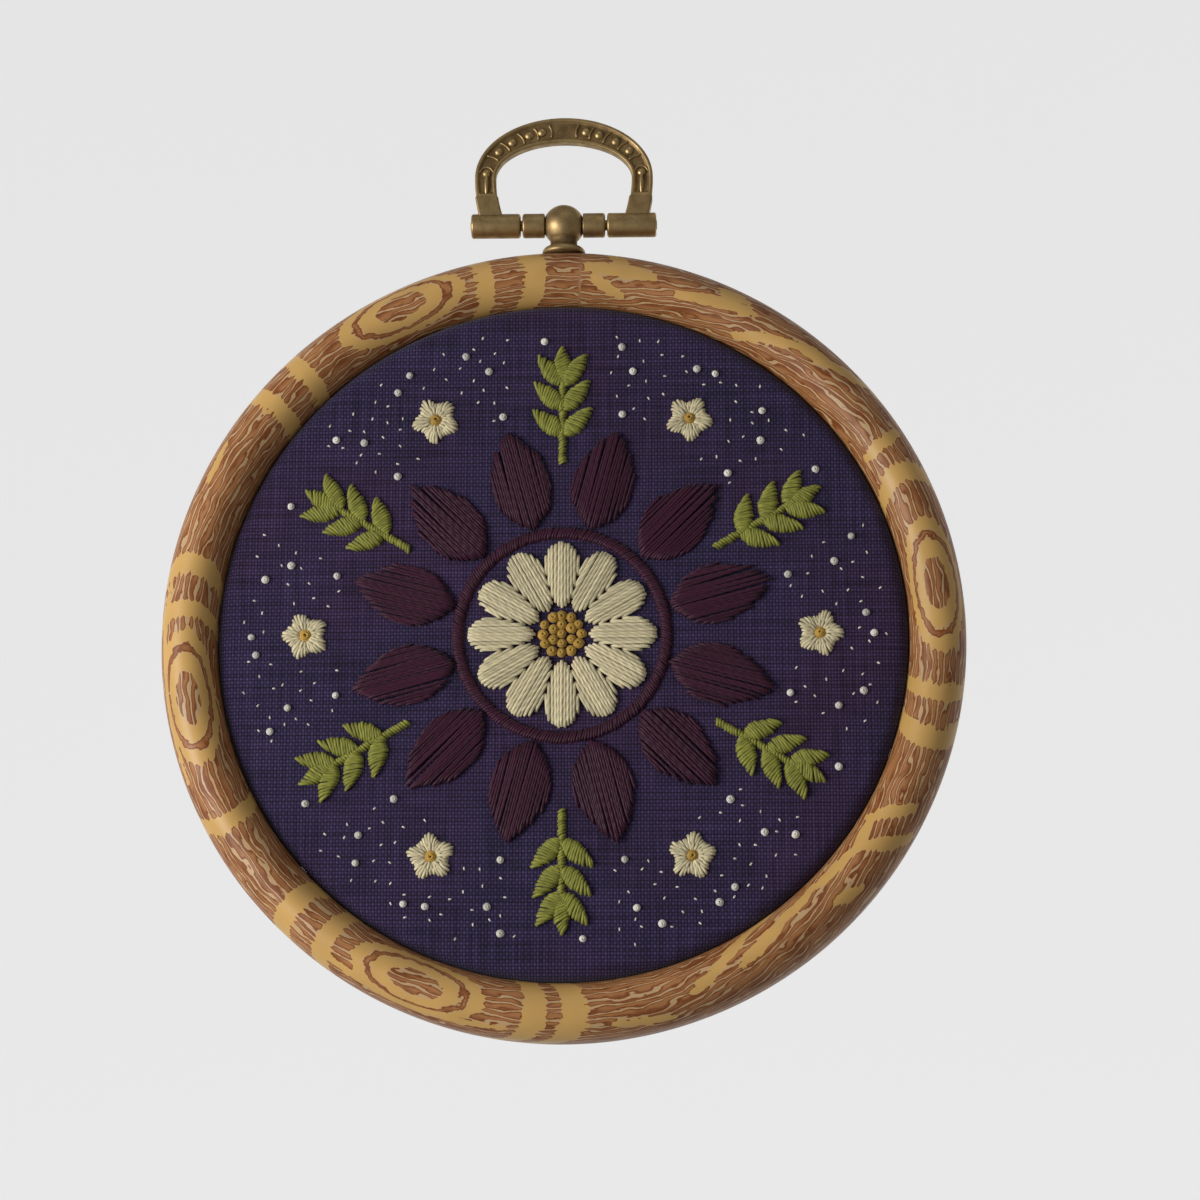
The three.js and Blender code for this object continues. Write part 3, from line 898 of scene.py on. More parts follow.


# In metres
ROLLED_CLOUD = 0.3333


def painted_surroundings(settings):
    """Matt wall paint, rolled: pale, with no gloss.

    It shines softly by itself, as a lit studio sweep does: most behind the piece, fading
    smoothly along Y to a share of that in front. It reflects little, so that it doesn't fill in
    the piece's shaded side.
    """
    material, tree, shader = new_material("surroundings_painted")
    place = add(tree, "TexCoord").outputs["Object"]
    cloud = add(tree, "TexNoise", {"Vector": place, "Scale": 1 / ROLLED_CLOUD, "Detail": 2})
    tone = add(tree, "MapRange", {"Value": cloud, "To Min": 0.47, "To Max": 0.5})
    colour = add(tree, "VectorMath", {0: settings.pale, 1: tone}, operation="MULTIPLY")
    fade = {
        "Value": add(tree, "SeparateXYZ", {0: place}).outputs[1],
        "From Min": GLOW_FADE[0],
        "From Max": GLOW_FADE[1],
        "To Min": settings.glow * settings.front_glow,
        "To Max": settings.glow,
    }
    glow = add(tree, "MapRange", fade, interpolation_type="SMOOTHSTEP")
    feed(tree, shader, {"Base Color": colour, "Roughness": 1})
    feed(tree, shader, {"Emission Strength": glow, "Emission Color": settings.pale})
    # So large and even a glow is met without rays being aimed at it, which saves time
    material.cycles.emission_sampling = "NONE"
    return material


CAMERA_PLACE = (16.43 * MM, -389.91 * MM, -83.56 * MM)
CAMERA_AIM = (4.72 * MM, 0, 4.92 * MM)
FOCAL_PIXELS = 3147
PICTURE_PIXELS = 1200
SENSOR_WIDTH = 36


NEAREST_SEEN = 0.01
FLOOR_DROP = 0.3
FLOOR_STEPS = 96
# The floor's section in metres, from its middle out and up: (radius, height)
FLOOR_SECTION = ((0, 0), (1.1, 0), (1.25, 0.03), (1.33, 0.12), (1.35, 0.3), (1.35, 2.2))
ROOM_LIGHT = 0.55
# Each light: name, place from the hoop's middle, size and share of the key light's power
LIGHTS = (
    ("key_light", (-0.36, -0.26, -0.05), 0.25, 1),
    ("top_light", (0.1, -0.5, 0.8), 0.6, 1 / 3),
)


class HOOP_OT_stage(bpy.types.Operator):
    """Sets the camera, the soft lights and the pale floor and surroundings"""

    bl_idname = "hoop.stage"
    bl_label = "Stage"

    def execute(self, context):
        settings = context.scene.hoop_stage
        scene = context.scene
        camera = bpy.data.objects.new("camera", bpy.data.cameras.new("camera"))
        scene.collection.objects.link(camera)
        camera.location = Vector(CAMERA_PLACE) + Vector(CENTRE)
        aim = Vector(CAMERA_AIM) + Vector(CENTRE)
        camera.rotation_euler = (aim - camera.location).to_track_quat("-Z", "Y").to_euler()
        camera.data.sensor_width = SENSOR_WIDTH
        camera.data.lens = SENSOR_WIDTH * FOCAL_PIXELS / PICTURE_PIXELS
        camera.data.clip_start = NEAREST_SEEN
        scene.camera = camera

        section = np.array(FLOOR_SECTION) + (0, CENTRE[2] - FLOOR_DROP)
        surface = grid(turned(section, FLOOR_STEPS, "Z", np.zeros(3)), wrap_rows=True)
        mesh = bpy.data.meshes.new("floor")
        mesh.from_pydata(surface["points"], [], surface["faces"].tolist())
        mesh.validate()
        mesh.shade_smooth()
        mesh.materials.append(painted_surroundings(settings))
        floor = bpy.data.objects.new("floor", mesh)
        scene.collection.objects.link(floor)

        world = bpy.data.worlds.new("soft_room")
        scene.world = world
        world.use_nodes = True
        background = world.node_tree.nodes["Background"]
        feed(world.node_tree, background, {"Color": settings.pale, "Strength": ROOM_LIGHT})
        scene.view_settings.view_transform = "Standard"
        for name, place, size, share in LIGHTS:
            light = bpy.data.objects.new(name, bpy.data.lights.new(name, "AREA"))
            light.data.size = size
            light.data.energy = settings.key_power * share
            light.location = Vector(place) + Vector(CENTRE)
            light.rotation_euler = (-Vector(place)).to_track_quat("-Z", "Y").to_euler()
            scene.collection.objects.link(light)
        return {"FINISHED"}


RIM_STEPS = 900
RIM_COLUMNS = 72


class HOOP_OT_rim(bpy.types.Operator):
    """Makes the outer ring: its section carried round the hoop, with the printed grain"""

    bl_idname = "hoop.rim"
    bl_label = "Outer Ring"

    def execute(self, context):
        settings = context.scene.hoop_rim
        outline = rim_outline()
        crest = RIM_RADIUS - RIM_WIDTH / 2
        section, along = resampled(outline, RIM_COLUMNS)
        front = along[np.argmin(np.abs(section[:, 0] - crest) + (section[:, 1] > 0))]
        across = along - front
        turn = SEAM + np.linspace(0, 360, RIM_STEPS, endpoint=False)[:, None]
        grain, clear, oval = print_fields(turn, across)
        reach = np.linspace(0, 2 * math.pi * crest, RIM_STEPS + 1)
        round_it = np.append(across, across[-1] + across[1] - across[0])
        uv = np.stack(np.meshgrid(reach, round_it, indexing="ij"), axis=-1)
        points = turned(section, RIM_STEPS, "Y", CENTRE, SEAM)
        surface = grid(points, True, True, uv, grain=grain, clear=clear, oval=oval)
        vinyl = woodgrain_vinyl(settings)
        make_piece("rim", surface, vinyl, "hoop", ["outer_ring"])
        return {"FINISHED"}


BAND_STEPS = 256


class HOOP_OT_band(bpy.types.Operator):
    """Makes the plain inner ring: a rounded band turned about the hoop's axis"""

    bl_idname = "hoop.band"
    bl_label = "Inner Ring"

    def execute(self, context):
        outside, inside = BAND_OUTSIDE, BAND_INSIDE
        front, back = BAND_LOW[1], BAND_HIGH[1]
        round_it = BAND_ROUND
        section = np.concatenate(
            [
                arc(inside + round_it, front + round_it, round_it, round_it, 180, 270, 7),
                arc(outside - round_it, front + round_it, round_it, round_it, 270, 360, 7),
                arc(outside - round_it, back - round_it, round_it, round_it, 0, 90, 7),
                arc(inside + round_it, back - round_it, round_it, round_it, 90, 180, 7),
            ]
        )
        surface = grid(turned(section, BAND_STEPS, "Y", CENTRE), True, True)
        plastic = moulded_plastic(context.scene.hoop_band)
        make_piece("inner_band", surface, plastic, "hoop", ["inner_ring"])
        return {"FINISHED"}


CLOTH_STEPS = 288
CLOTH_RINGS = 44
EDGE_RINGS = 10
SKIRT_RINGS = 6
PUCKER = 0.05 * MM
PUCKER_REACH = 3 * MM
PUCKER_WAVE = 2.1 * MM
FRAY = 0.12 * MM
FRAY_REACH = 0.8 * MM
FRAY_WAVES = (211, 97, 307)


class HOOP_OT_cloth(bpy.types.Operator):
    """Makes the cloth: a flat face, a rounded edge and a skirt, of two skins a thickness apart"""

    bl_idname = "hoop.cloth"
    bl_label = "Cloth"

    def execute(self, context):
        settings = context.scene.hoop_cloth
        round_it = CLOTH_EDGE_ROUND
        bend = SKIRT_RADIUS - round_it
        middle = CLOTH_FACE + round_it
        under = round_it - settings.thickness
        flat = np.linspace(0, bend, CLOTH_RINGS, endpoint=False)
        down = np.linspace(middle, TRIM, SKIRT_RINGS + 1)[1:]
        outer = np.concatenate(
            [
                np.stack([flat, flat * 0 + CLOTH_FACE], axis=-1),
                arc(bend, middle, round_it, round_it, 270, 360, EDGE_RINGS),
                np.stack([down * 0 + SKIRT_RADIUS, down], axis=-1),
            ]
        )
        inner = np.concatenate(
            [
                np.stack([flat, flat * 0 + CLOTH_FACE + settings.thickness], axis=-1),
                arc(bend, middle, under, under, 270, 360, EDGE_RINGS),
                np.stack([down * 0 + SKIRT_RADIUS - settings.thickness, down], axis=-1),
            ]
        )
        section = np.concatenate([outer, inner[::-1]])
        points = turned(section, CLOTH_STEPS, "Y", CENTRE)
        turn = np.linspace(0, 2 * np.pi, CLOTH_STEPS, endpoint=False)[:, None]
        radius = section[:, 0] + 0 * turn
        near = smooth(STAR_TIP + PUCKER_REACH, STAR_TIP, radius) * smooth(0, PETAL_FOOT, radius)
        ripple = np.cos(PETALS * 2 * turn) * np.cos(radius / PUCKER_WAVE) * near
        points[..., 1] += PUCKER * (0.6 * ripple + 0.4 * near)
        edge = smooth(TRIM - FRAY_REACH, TRIM, section[:, 1]) * (section[:, 0] > bend)
        fray = sum(np.sin(turn * waves + i) for i, waves in enumerate(FRAY_WAVES))
        points[..., 1] -= FRAY * edge * (1.5 + fray / 2)
        reach = np.concatenate(
            [[0], np.cumsum(np.linalg.norm(np.diff(outer, axis=0), axis=1))]
        )
        reach = np.concatenate([reach, reach[::-1]])
        spun = np.linspace(0, 2 * np.pi, CLOTH_STEPS + 1)[:, None]
        uv = np.stack([reach * np.sin(spun), reach * np.cos(spun)], axis=-1)
        surface = grid(points, wrap_rows=True, uv=uv)
        weave = plain_weave(settings)
        cloth = make_piece("muslin", surface, weave, "hoop", ["cloth"])
        return {"FINISHED"}


def cotton(context, name, colour):
    """The stranded cotton of one colour, made once."""
    made = bpy.data.materials.get(name)
    return made or stranded_cotton(name, colour, context.scene.hoop_thread)


# How each motif is worked. Pitches and threads are shares of the thread's width, and the
# sprig's slant is a share of its leaf. Two strays are for the threads' starts and ends, and
# two lifts are a low height and what is added to it
PETAL_PITCH = 0.86
PETAL_PARTING = 0.2 * MM
PETAL_STRAY = (0.03 * MM, 0.06 * MM)
PETAL_LIFT = (0.3 * MM, 0.35 * MM)
MIDDLE_RINGS = ((0, 1), (1.25 * MM, 6), (2.45 * MM, 12))
MIDDLE_STRAY = 0.06 * MM
MIDDLE_KNOT = 0.7 * MM
MIDDLE_THREAD = 0.72
LEAF_PITCH = 0.84
LEAF_STRAY = (0.08 * MM, 0.14 * MM)
LEAF_LIFT = (0.25 * MM, 0.4 * MM)
RING_PITCH = 0.95
RING_SLANT = 0.35 * MM
RING_STRAY = (0.04 * MM, 0.04 * MM)
RING_LIFT = 0.35 * MM
SMALL_THREAD = 0.9
SPRIG_PITCH = 0.8
SPRIG_SLANT = 0.1
SPRIG_STRAY = (0.05 * MM, 0.05 * MM)
SPRIG_LIFT = (0.3 * MM, 0.25 * MM)
STEM_PITCH = 0.9
STEM_HALF = 0.42 * MM
STEM_SLANT = 0.25 * MM
STEM_LIFT = 0.42 * MM
LOBE_STITCHES = 8
BLOSSOM_HOLLOW = (0.6 * MM, 1.25 * MM)
BLOSSOM_STRAY = (0.04 * MM, 0.06 * MM)
BLOSSOM_LIFT = (0.3 * MM, 0.15 * MM)
HEART_KNOT = 0.8 * MM
HEART_THREAD = 0.8


class HOOP_OT_flower(bpy.types.Operator):
    """Works the flower: twelve satin petals and a middle of knots"""

    bl_idname = "hoop.flower"
    bl_label = "Flower"

    def execute(self, context):
        threads = context.scene.hoop_thread
        random = np.random.default_rng(context.scene.hoop_stage.seed)
        width = threads.width
        start, end = long_stitches(PETAL_FOOT, PETAL_TIP, PETAL_WIDTH, 1, width * PETAL_PITCH)
        crowd = np.abs(start[:, 0]) / math.tan(math.pi / PETALS) + PETAL_PARTING
        start[:, 1] = np.maximum(start[:, 1], crowd)
        lift = np.tile(crown(start, PETAL_WIDTH, PETAL_LIFT), PETALS)
        turns = np.arange(PETALS) * 360 / PETALS
        surface = worked(start, end, turns, PETAL_STRAY, lift, width, random)
        cream = cotton(context, "cotton_cream_satin_stitch", threads.cream)
        make_piece("petals", surface, cream, "hoop", ["flower_petals"])

        places = np.concatenate(
            [clockwise(np.array([0, r]), np.arange(n) * 360 / n) for r, n in MIDDLE_RINGS]
        )
        places = jittered(places, MIDDLE_STRAY, random)
        surface = knots(places, MIDDLE_KNOT, width * MIDDLE_THREAD, random)
        gold = cotton(context, "cotton_gold_knots", threads.gold)
        make_piece("middle_knots", surface, gold, "hoop", ["flower_middle"])
        return {"FINISHED"}


class HOOP_OT_star(bpy.types.Operator):
    """Works the star: pointed leaves of long stitches on a ring of slanting ones"""

    bl_idname = "hoop.star"
    bl_label = "Leaf Star"

    def execute(self, context):
        threads = context.scene.hoop_thread
        random = np.random.default_rng(context.scene.hoop_stage.seed + 1)
        width = threads.fine_width
        inside, outside = STAR_RING - STAR_RING_WIDTH / 2, STAR_RING + STAR_RING_WIDTH / 2
        start, end = long_stitches(
            outside, STAR_TIP, STAR_LEAF_WIDTH, STAR_FULLNESS, width * LEAF_PITCH
        )
        lift = np.tile(crown(start, STAR_LEAF_WIDTH, LEAF_LIFT), PETALS)
        turns = (np.arange(PETALS) + 0.5) * 360 / PETALS
        leaves = worked(start, end, turns, LEAF_STRAY, lift, width, random)
        count = int(2 * math.pi * STAR_RING / (width * RING_PITCH))
        turns = np.arange(count) * 360 / count
        start = np.array([-RING_SLANT, inside])
        end = np.array([RING_SLANT, outside])
        ring = worked(start, end, turns, RING_STRAY, RING_LIFT, width, random)
        plum = cotton(context, "cotton_plum_long_stitch", threads.plum)
        make_piece("star", combined(leaves, ring), plum, "hoop", ["leaf_star"])
        return {"FINISHED"}


class HOOP_OT_sprigs(bpy.types.Operator):
    """Works the sprigs: a wrapped stem with satin leaves in pairs"""

    bl_idname = "hoop.sprigs"
    bl_label = "Sprigs"

    def execute(self, context):
        threads = context.scene.hoop_thread
        random = np.random.default_rng(context.scene.hoop_stage.seed + 2)
        width = threads.width * SMALL_THREAD
        olive = cotton(context, "cotton_olive_wrapped", threads.olive)
        starts, ends = cross_stitches(
            0, SPRIG_LEAF, SPRIG_LEAF_WIDTH, 0, width * SPRIG_PITCH, SPRIG_SLANT
        )
        length = np.linalg.norm(ends - starts, axis=1)
        leaf_lift = SPRIG_LIFT[0] + SPRIG_LIFT[1] * (length / SPRIG_LEAF_WIDTH)
        stem_end = SPRIG_TIP - SPRIG_LEAF / 2
        wraps = int((stem_end - SPRIG_FOOT) / (width * STEM_PITCH))
        up = np.linspace(SPRIG_FOOT, stem_end, wraps)
        places = [(np.array([0, SPRIG_TIP - SPRIG_LEAF]), 0)]
        for along, turn in SPRIG_LEAVES:
            for side in (-1, 1):
                places.append((np.array([0, SPRIG_FOOT + along]), side * turn))
        low = [clockwise(starts, turn) + place for place, turn in places]
        high = [clockwise(ends, turn) + place for place, turn in places]
        low = np.concatenate(low + [np.stack([up * 0 - STEM_HALF, up - STEM_SLANT], axis=-1)])
        high = np.concatenate(high + [np.stack([up * 0 + STEM_HALF, up + STEM_SLANT], axis=-1)])
        lift = np.concatenate([np.tile(leaf_lift, len(places)), np.full(wraps, STEM_LIFT)])
        for i in range(SPRIGS):
            turn = i * 360 / SPRIGS
            surface = worked(low, high, turn, SPRIG_STRAY, lift, width, random)
            name = f"sprig_{i + 1}"
            make_piece(name + "_stitches", surface, olive, "hoop", [name])
        return {"FINISHED"}


class HOOP_OT_blossoms(bpy.types.Operator):
    """Works the small blossoms: straight stitches out to a lobed edge, with a knot in the middle"""

    bl_idname = "hoop.blossoms"
    bl_label = "Blossoms"

    def execute(self, context):
        threads = context.scene.hoop_thread
        random = np.random.default_rng(context.scene.hoop_stage.seed + 3)
        width = threads.width * SMALL_THREAD
        cream = cotton(context, "cotton_cream_satin_stitch", threads.cream)
        gold = cotton(context, "cotton_gold_knots", threads.gold)
        count = BLOSSOM_LOBES * LOBE_STITCHES
        angle = np.arange(count) * 360 / count
        swell = (1 + np.cos(np.radians(angle * BLOSSOM_LOBES))) / 2
        far = BLOSSOM_RADIUS - BLOSSOM_LOBE_DEPTH * (1 - swell)
        near = np.where(np.arange(count) % 2, BLOSSOM_HOLLOW[1], BLOSSOM_HOLLOW[0])
        spun = np.radians(angle)
        rays = np.stack([np.sin(spun), np.cos(spun)], axis=-1)
        middle = np.array([0, BLOSSOM_PLACE])
        start, end = rays * near[:, None] + middle, rays * far[:, None] + middle
        lift = BLOSSOM_LIFT[0] + BLOSSOM_LIFT[1] * swell
        for i in range(BLOSSOMS):
            turn = (i + 0.5) * 360 / BLOSSOMS
            surface = worked(start, end, turn, BLOSSOM_STRAY, lift, width, random)
            name = f"blossom_{i + 1}"
            make_piece(name + "_stitches", surface, cream, "hoop", [name])
            heart = knots(clockwise(middle, turn), HEART_KNOT, width * HEART_THREAD, random)
            make_piece(name + "_knot", heart, gold, "hoop", ())
        return {"FINISHED"}


SEED_RINGS = ((29.6 * MM, 12, 15), (35.8 * MM, 12, 15), (38.6 * MM, 24, 11.25), (39.3 * MM, 6, 30))
SEED_SPACING = 1.32 * MM
SEED_GROUND = (28.8 * MM, 40.8 * MM)
SEED_LENGTH = 0.5 * MM
SEED_WIDTH = 0.24 * MM
SPRIG_CLEARANCE = 5.8 * MM
BLOSSOM_CLEARANCE = 4.2 * MM
KNOT_CLEARANCE = 1.1 * MM
SEED_STRAY = 0.12 * MM
GROUND_STRAY = 0.35 * MM
SEED_KNOT = 0.5 * MM
SEED_THREAD = 0.58
SEED_LIFT = 0.12 * MM
GOLDEN_ANGLE = 137.508


def seed_ground(knot_places, random):
    """Starts and ends of the tiny stitches that fill the ground between the motifs.

    They lie on a sunflower's spiral, whose radius grows with the root of the count and whose
    angle steps by the golden angle, and each points its own way.
    """
    count = np.arange(int((SEED_GROUND[1] / SEED_SPACING) ** 2))
    turn = np.radians(count * GOLDEN_ANGLE)
    radius = SEED_SPACING * np.sqrt(count)
    flat = np.stack([radius * np.sin(turn), radius * np.cos(turn)], axis=-1)
    flat = jittered(flat, GROUND_STRAY, random)
    degrees = np.degrees(turn)
    beside = radius * np.sin(np.radians((degrees + 30) % 60 - 30))
    blossoms = clockwise(np.array([0, BLOSSOM_PLACE]), 30 + np.arange(BLOSSOMS) * 60)
    apart = np.linalg.norm(flat[:, None] - blossoms, axis=-1).min(axis=1)
    from_knots = np.linalg.norm(flat[:, None] - knot_places, axis=-1).min(axis=1)
    free = (radius > SEED_GROUND[0]) & (np.abs(beside) > SPRIG_CLEARANCE)
    flat = flat[free & (apart > BLOSSOM_CLEARANCE) & (from_knots > KNOT_CLEARANCE)]
    lean = random.uniform(0, np.pi, len(flat))
    half = np.stack([np.sin(lean), np.cos(lean)], axis=-1) * SEED_LENGTH / 2
    return flat - half, flat + half


class HOOP_OT_seeds(bpy.types.Operator):
    """Works the seed knots in even rings and the tiny stitches between them"""

    bl_idname = "hoop.seeds"
    bl_label = "Seed Stitches"

    def execute(self, context):
        threads = context.scene.hoop_thread
        random = np.random.default_rng(context.scene.hoop_stage.seed + 4)
        places = np.concatenate(
            [
                clockwise(np.array([0, radius]), first + np.arange(count) * 360 / count)
                for radius, count, first in SEED_RINGS
            ]
        )
        places = jittered(places, SEED_STRAY, random)
        white = cotton(context, "cotton_white_knots", threads.white)
        surface = knots(places, SEED_KNOT, threads.width * SEED_THREAD, random)
        make_piece("seed_knots", surface, white, "hoop", ())
        start, end = seed_ground(places, random)
        surface = stitches(start, end, SEED_LIFT, SEED_WIDTH, random, samples=6, sides=5)
        make_piece("seed_stitches", surface, white, "hoop", ())
        return {"FINISHED"}


def rod_section(radius, start, end, start_round, end_round):
    """A rod's section from axis to axis, its two edges rounded."""
    low, high = start_round, end_round
    return np.concatenate(
        [
            [(0, start)],
            arc(radius - low, start + low, low, low, 270, 360, 7),
            arc(radius - high, end - high, high, high, 0, 90, 7),
            [(0, end)],
        ]
    )


ROD_STEPS = 56
# How much a rod is rubbed, from one end's middle to halfway along it
HALF_ROD_WEAR = (0.15, 0.3, 0.6, 0.85, 0.95, 0.95, 0.8, 0.55)


def rod(radius, start, end, start_round, end_round):
    """A rounded rod along the pin's axis, rubbed bright at its edges."""
    section = rod_section(radius, start, end, start_round, end_round)
    wear = HALF_ROD_WEAR + HALF_ROD_WEAR[::-1]
    return grid(turned(section, ROD_STEPS, "X", PIN_AXIS), wrap_rows=True, wear=wear)


def bronze(context):
    """The hanger's metal, made once."""
    made = bpy.data.materials.get("bronze_plated_antiqued")
    return made or aged_bronze(context.scene.hoop_hanger)


FLANGE_DOME = 0.75 * MM
FLANGE_EDGE = 0.35 * MM
FLANGE_SUNK = 0.05 * MM


class HOOP_OT_post(bpy.types.Operator):
    """Makes the hanger's post: a ball on a neck and a domed flange, between two arms"""

    bl_idname = "hoop.post"
    bl_label = "Hanger Post"

    def execute(self, context):
        meet = math.degrees(math.asin(NECK_RADIUS / BALL_RADIUS))
        ball = arc(0, 0, BALL_RADIUS, BALL_RADIUS, 90, -90 + meet, 28)
        foot = -RIM_DROP - FLANGE_SUNK
        reach = FLANGE_RADIUS - NECK_RADIUS
        dome = arc(NECK_RADIUS, foot + FLANGE_EDGE, reach, FLANGE_DOME, 90, 0, 10)
        section = np.concatenate([ball, dome, [(FLANGE_RADIUS, foot), (0, foot)]])
        points = turned(section, ROD_STEPS, "Z", PIN_AXIS)
        wear = np.concatenate([np.full(26, 0.6), [0.3, 0.1], np.linspace(0.1, 0.85, 10), [0.3, 0]])
        stem = grid(points, wrap_rows=True, wear=wear)
        left = rod(BARREL_RADIUS, -ARM_END, -ARM_START, BARREL_ROUND, ARM_ROUND)
        right = rod(BARREL_RADIUS, ARM_START, ARM_END, ARM_ROUND, BARREL_ROUND)
        post = combined(stem, left, right)
        make_piece("post", post, bronze(context), "hoop", ["hanger_post"])
        return {"FINISHED"}


ARCH_STEPS = 120
LEG_STEPS = 44
FACE_STEPS = 29
BACK_STEPS = 11


def loop_edge(half_width, top, foot):
    """One edge of the loop from its left foot over the top to the right one.

    Each leg bows in below the spring line by the square of the distance down; the arch is half
    an ellipse.
    """
    share = np.linspace(0, 1, LEG_STEPS, endpoint=False)
    leg = np.stack(
        [
            half_width - (half_width - foot) * (1 - share) ** 2,
            FOOT_HEIGHT + (SPRING_HEIGHT - FOOT_HEIGHT) * share,
        ],
        axis=-1,
    )
    over = arc(0, SPRING_HEIGHT, half_width, top - SPRING_HEIGHT, 180, 0, ARCH_STEPS)
    return np.concatenate([leg * (-1, 1), over, leg[::-1]])


def loop_surface():
    """The loop: a section carried along both edges at once.

    The section's share runs from the inner edge to the outer one. Its front is sunk between two
    borders, its corners are rounded, and it steps out to a plain collar at each foot.
    """
    outer = loop_edge(OUTER_HALF_WIDTH, LOOP_TOP, FOOT_OUTER)[:, None]
    inner = loop_edge(INNER_HALF_WIDTH, -PIN_AXIS[2], FOOT_INNER)[:, None]
    width = np.linalg.norm(outer - inner, axis=-1)
    height = (outer + inner)[..., 1] / 2
    collar = smooth(COLLAR_HEIGHT + 0.1 * MM, COLLAR_HEIGHT - 0.1 * MM, height)
    carved = smooth(CHANNEL_FOOT, CHANNEL_FOOT + 0.5 * MM, height)
    thickness = LOOP_THICKNESS + (COLLAR_THICKNESS - LOOP_THICKNESS) * collar
    front = (1 - np.cos(np.linspace(0, np.pi, FACE_STEPS))) / 2
    back = (1 + np.cos(np.linspace(0, np.pi, BACK_STEPS))) / 2
    share = np.concatenate([front, back])
    facing = np.concatenate([np.full(FACE_STEPS, -1), np.full(BACK_STEPS, 1)])
    from_edge = np.minimum(share, 1 - share) * width
    corner = 1 - np.clip(from_edge / LOOP_ROUND, 0, 1)
    rounding = LOOP_ROUND * (1 - np.sqrt(1 - corner**2))
    sunk = smooth(BORDER * 0.8, BORDER * 1.25, from_edge) * carved * (facing < 0)
    depth = facing * (thickness / 2 - rounding - CHANNEL_DEPTH * sunk)
    spread = (share - 0.5) * (1 + 2 * COLLAR_STEP * collar / width) + 0.5
    flat = inner + (outer - inner) * spread[..., None]
    points = np.stack([flat[..., 0], depth, flat[..., 1] + PIN_AXIS[2]], axis=-1)
    wear = np.where(facing < 0, 0.62 - 0.42 * sunk, 0.45) - 0.12 * collar
    return grid(points, wrap_columns=True, wear=wear)


BEAD_PLACES = (2.9, 4.6, 6.8, 8.55)
BEAD_RADIUS = 0.6 * MM
RIDGE_PLACES = (1.9, 3.75, 5.7, 7.75, 9.35)
HOOD_RADIUS = 0.88 * MM


def loop_place(across):
    """Height of the loop's middle line above the spring line, at a distance from the middle."""
    half = (OUTER_HALF_WIDTH + INNER_HALF_WIDTH) / 2
    rise = (LOOP_TOP - PIN_AXIS[2]) / 2 - SPRING_HEIGHT
    return SPRING_HEIGHT + rise * np.sqrt(1 - np.minimum(across / half, 1) ** 2)


def pebbles(places, radii):
    """Ellipsoids: each place is the middle, each row of radii its half sizes."""
    lift = np.linspace(-np.pi / 2, np.pi / 2, 13)
    round_it = np.linspace(0, 2 * np.pi, 20, endpoint=False)
    lift, round_it = np.meshgrid(lift, round_it, indexing="ij")
    ball = np.stack(
        [np.cos(lift) * np.cos(round_it), np.sin(lift), np.cos(lift) * np.sin(round_it)], axis=-1
    )
    points = places[:, None, None] + ball * radii[:, None, None]
    return grid(points, wrap_columns=True, wear=0.95 - 0.6 * smooth(-0.7, 0, ball[..., 1]))


# The drop on each leg, by its head and its stem: height and half sizes
DROP = (
    (7.1 * MM, (0.58 * MM, 0.5 * MM, 0.58 * MM)),
    (5.7 * MM, (0.36 * MM, 0.5 * MM, 1.6 * MM)),
)
DROP_INSET = 0.12 * MM
RIDGE_HALF = 0.95 * MM
RIDGE_BOW = 0.3 * MM
RIDGE_WIDTH = 0.3 * MM
RIDGE_HEIGHT = 0.5 * MM


def loop_ornament():
    """Beads in the sunk channel, bowed ridges between them and a hooded drop on each leg."""
    face = -LOOP_THICKNESS / 2 + CHANNEL_DEPTH
    sides = np.repeat([-1, 1], len(BEAD_PLACES))
    across = np.tile(BEAD_PLACES, 2) * MM
    places = np.stack([sides * across, 0 * across + face, loop_place(across)], axis=-1)
    radii = np.full(places.shape, BEAD_RADIUS) * (1, 0.75, 1)
    half = (OUTER_HALF_WIDTH + INNER_HALF_WIDTH) / 2
    leg = half - DROP_INSET
    drops = np.array([[[side * leg, face, height] for side in (-1, 1)] for height, _ in DROP])
    places = np.concatenate([places, *drops]) + (0, 0, PIN_AXIS[2])
    radii = np.concatenate([radii, *([sizes] * 2 for _, sizes in DROP)])

    across = np.tile(RIDGE_PLACES, 2)[:, None] * MM
    side = np.repeat([-1, 1], len(RIDGE_PLACES))[:, None]
    share = np.linspace(-1, 1, 13)
    up = loop_place(across)
    lean = np.arctan2((up - SPRING_HEIGHT) / (LOOP_TOP - SPRING_HEIGHT) ** 2, across / half**2)
    reach = share * RIDGE_HALF
    bow = RIDGE_BOW * (1 - share**2)
    out = across + reach * np.cos(lean) - bow * np.sin(lean)
    high = up + reach * np.sin(lean) + bow * np.cos(lean) * 0.4
    ridge = np.stack([side * out, 0 * out + face, high + PIN_AXIS[2]], axis=-1)
    over = arc(0, 0, HOOD_RADIUS, HOOD_RADIUS, 0, 180, len(share))
    hoods = drops[0][:, None] + np.insert(over, 1, 0, axis=-1) + (0, 0, PIN_AXIS[2])
    lines = np.concatenate([ridge, hoods])
    ridges = tubes(lines, RIDGE_WIDTH, RIDGE_HEIGHT, 8, np.zeros(len(lines)), wear=0.75)
    del ridges["values"]["strand"]
    return combined(pebbles(places, radii), ridges)


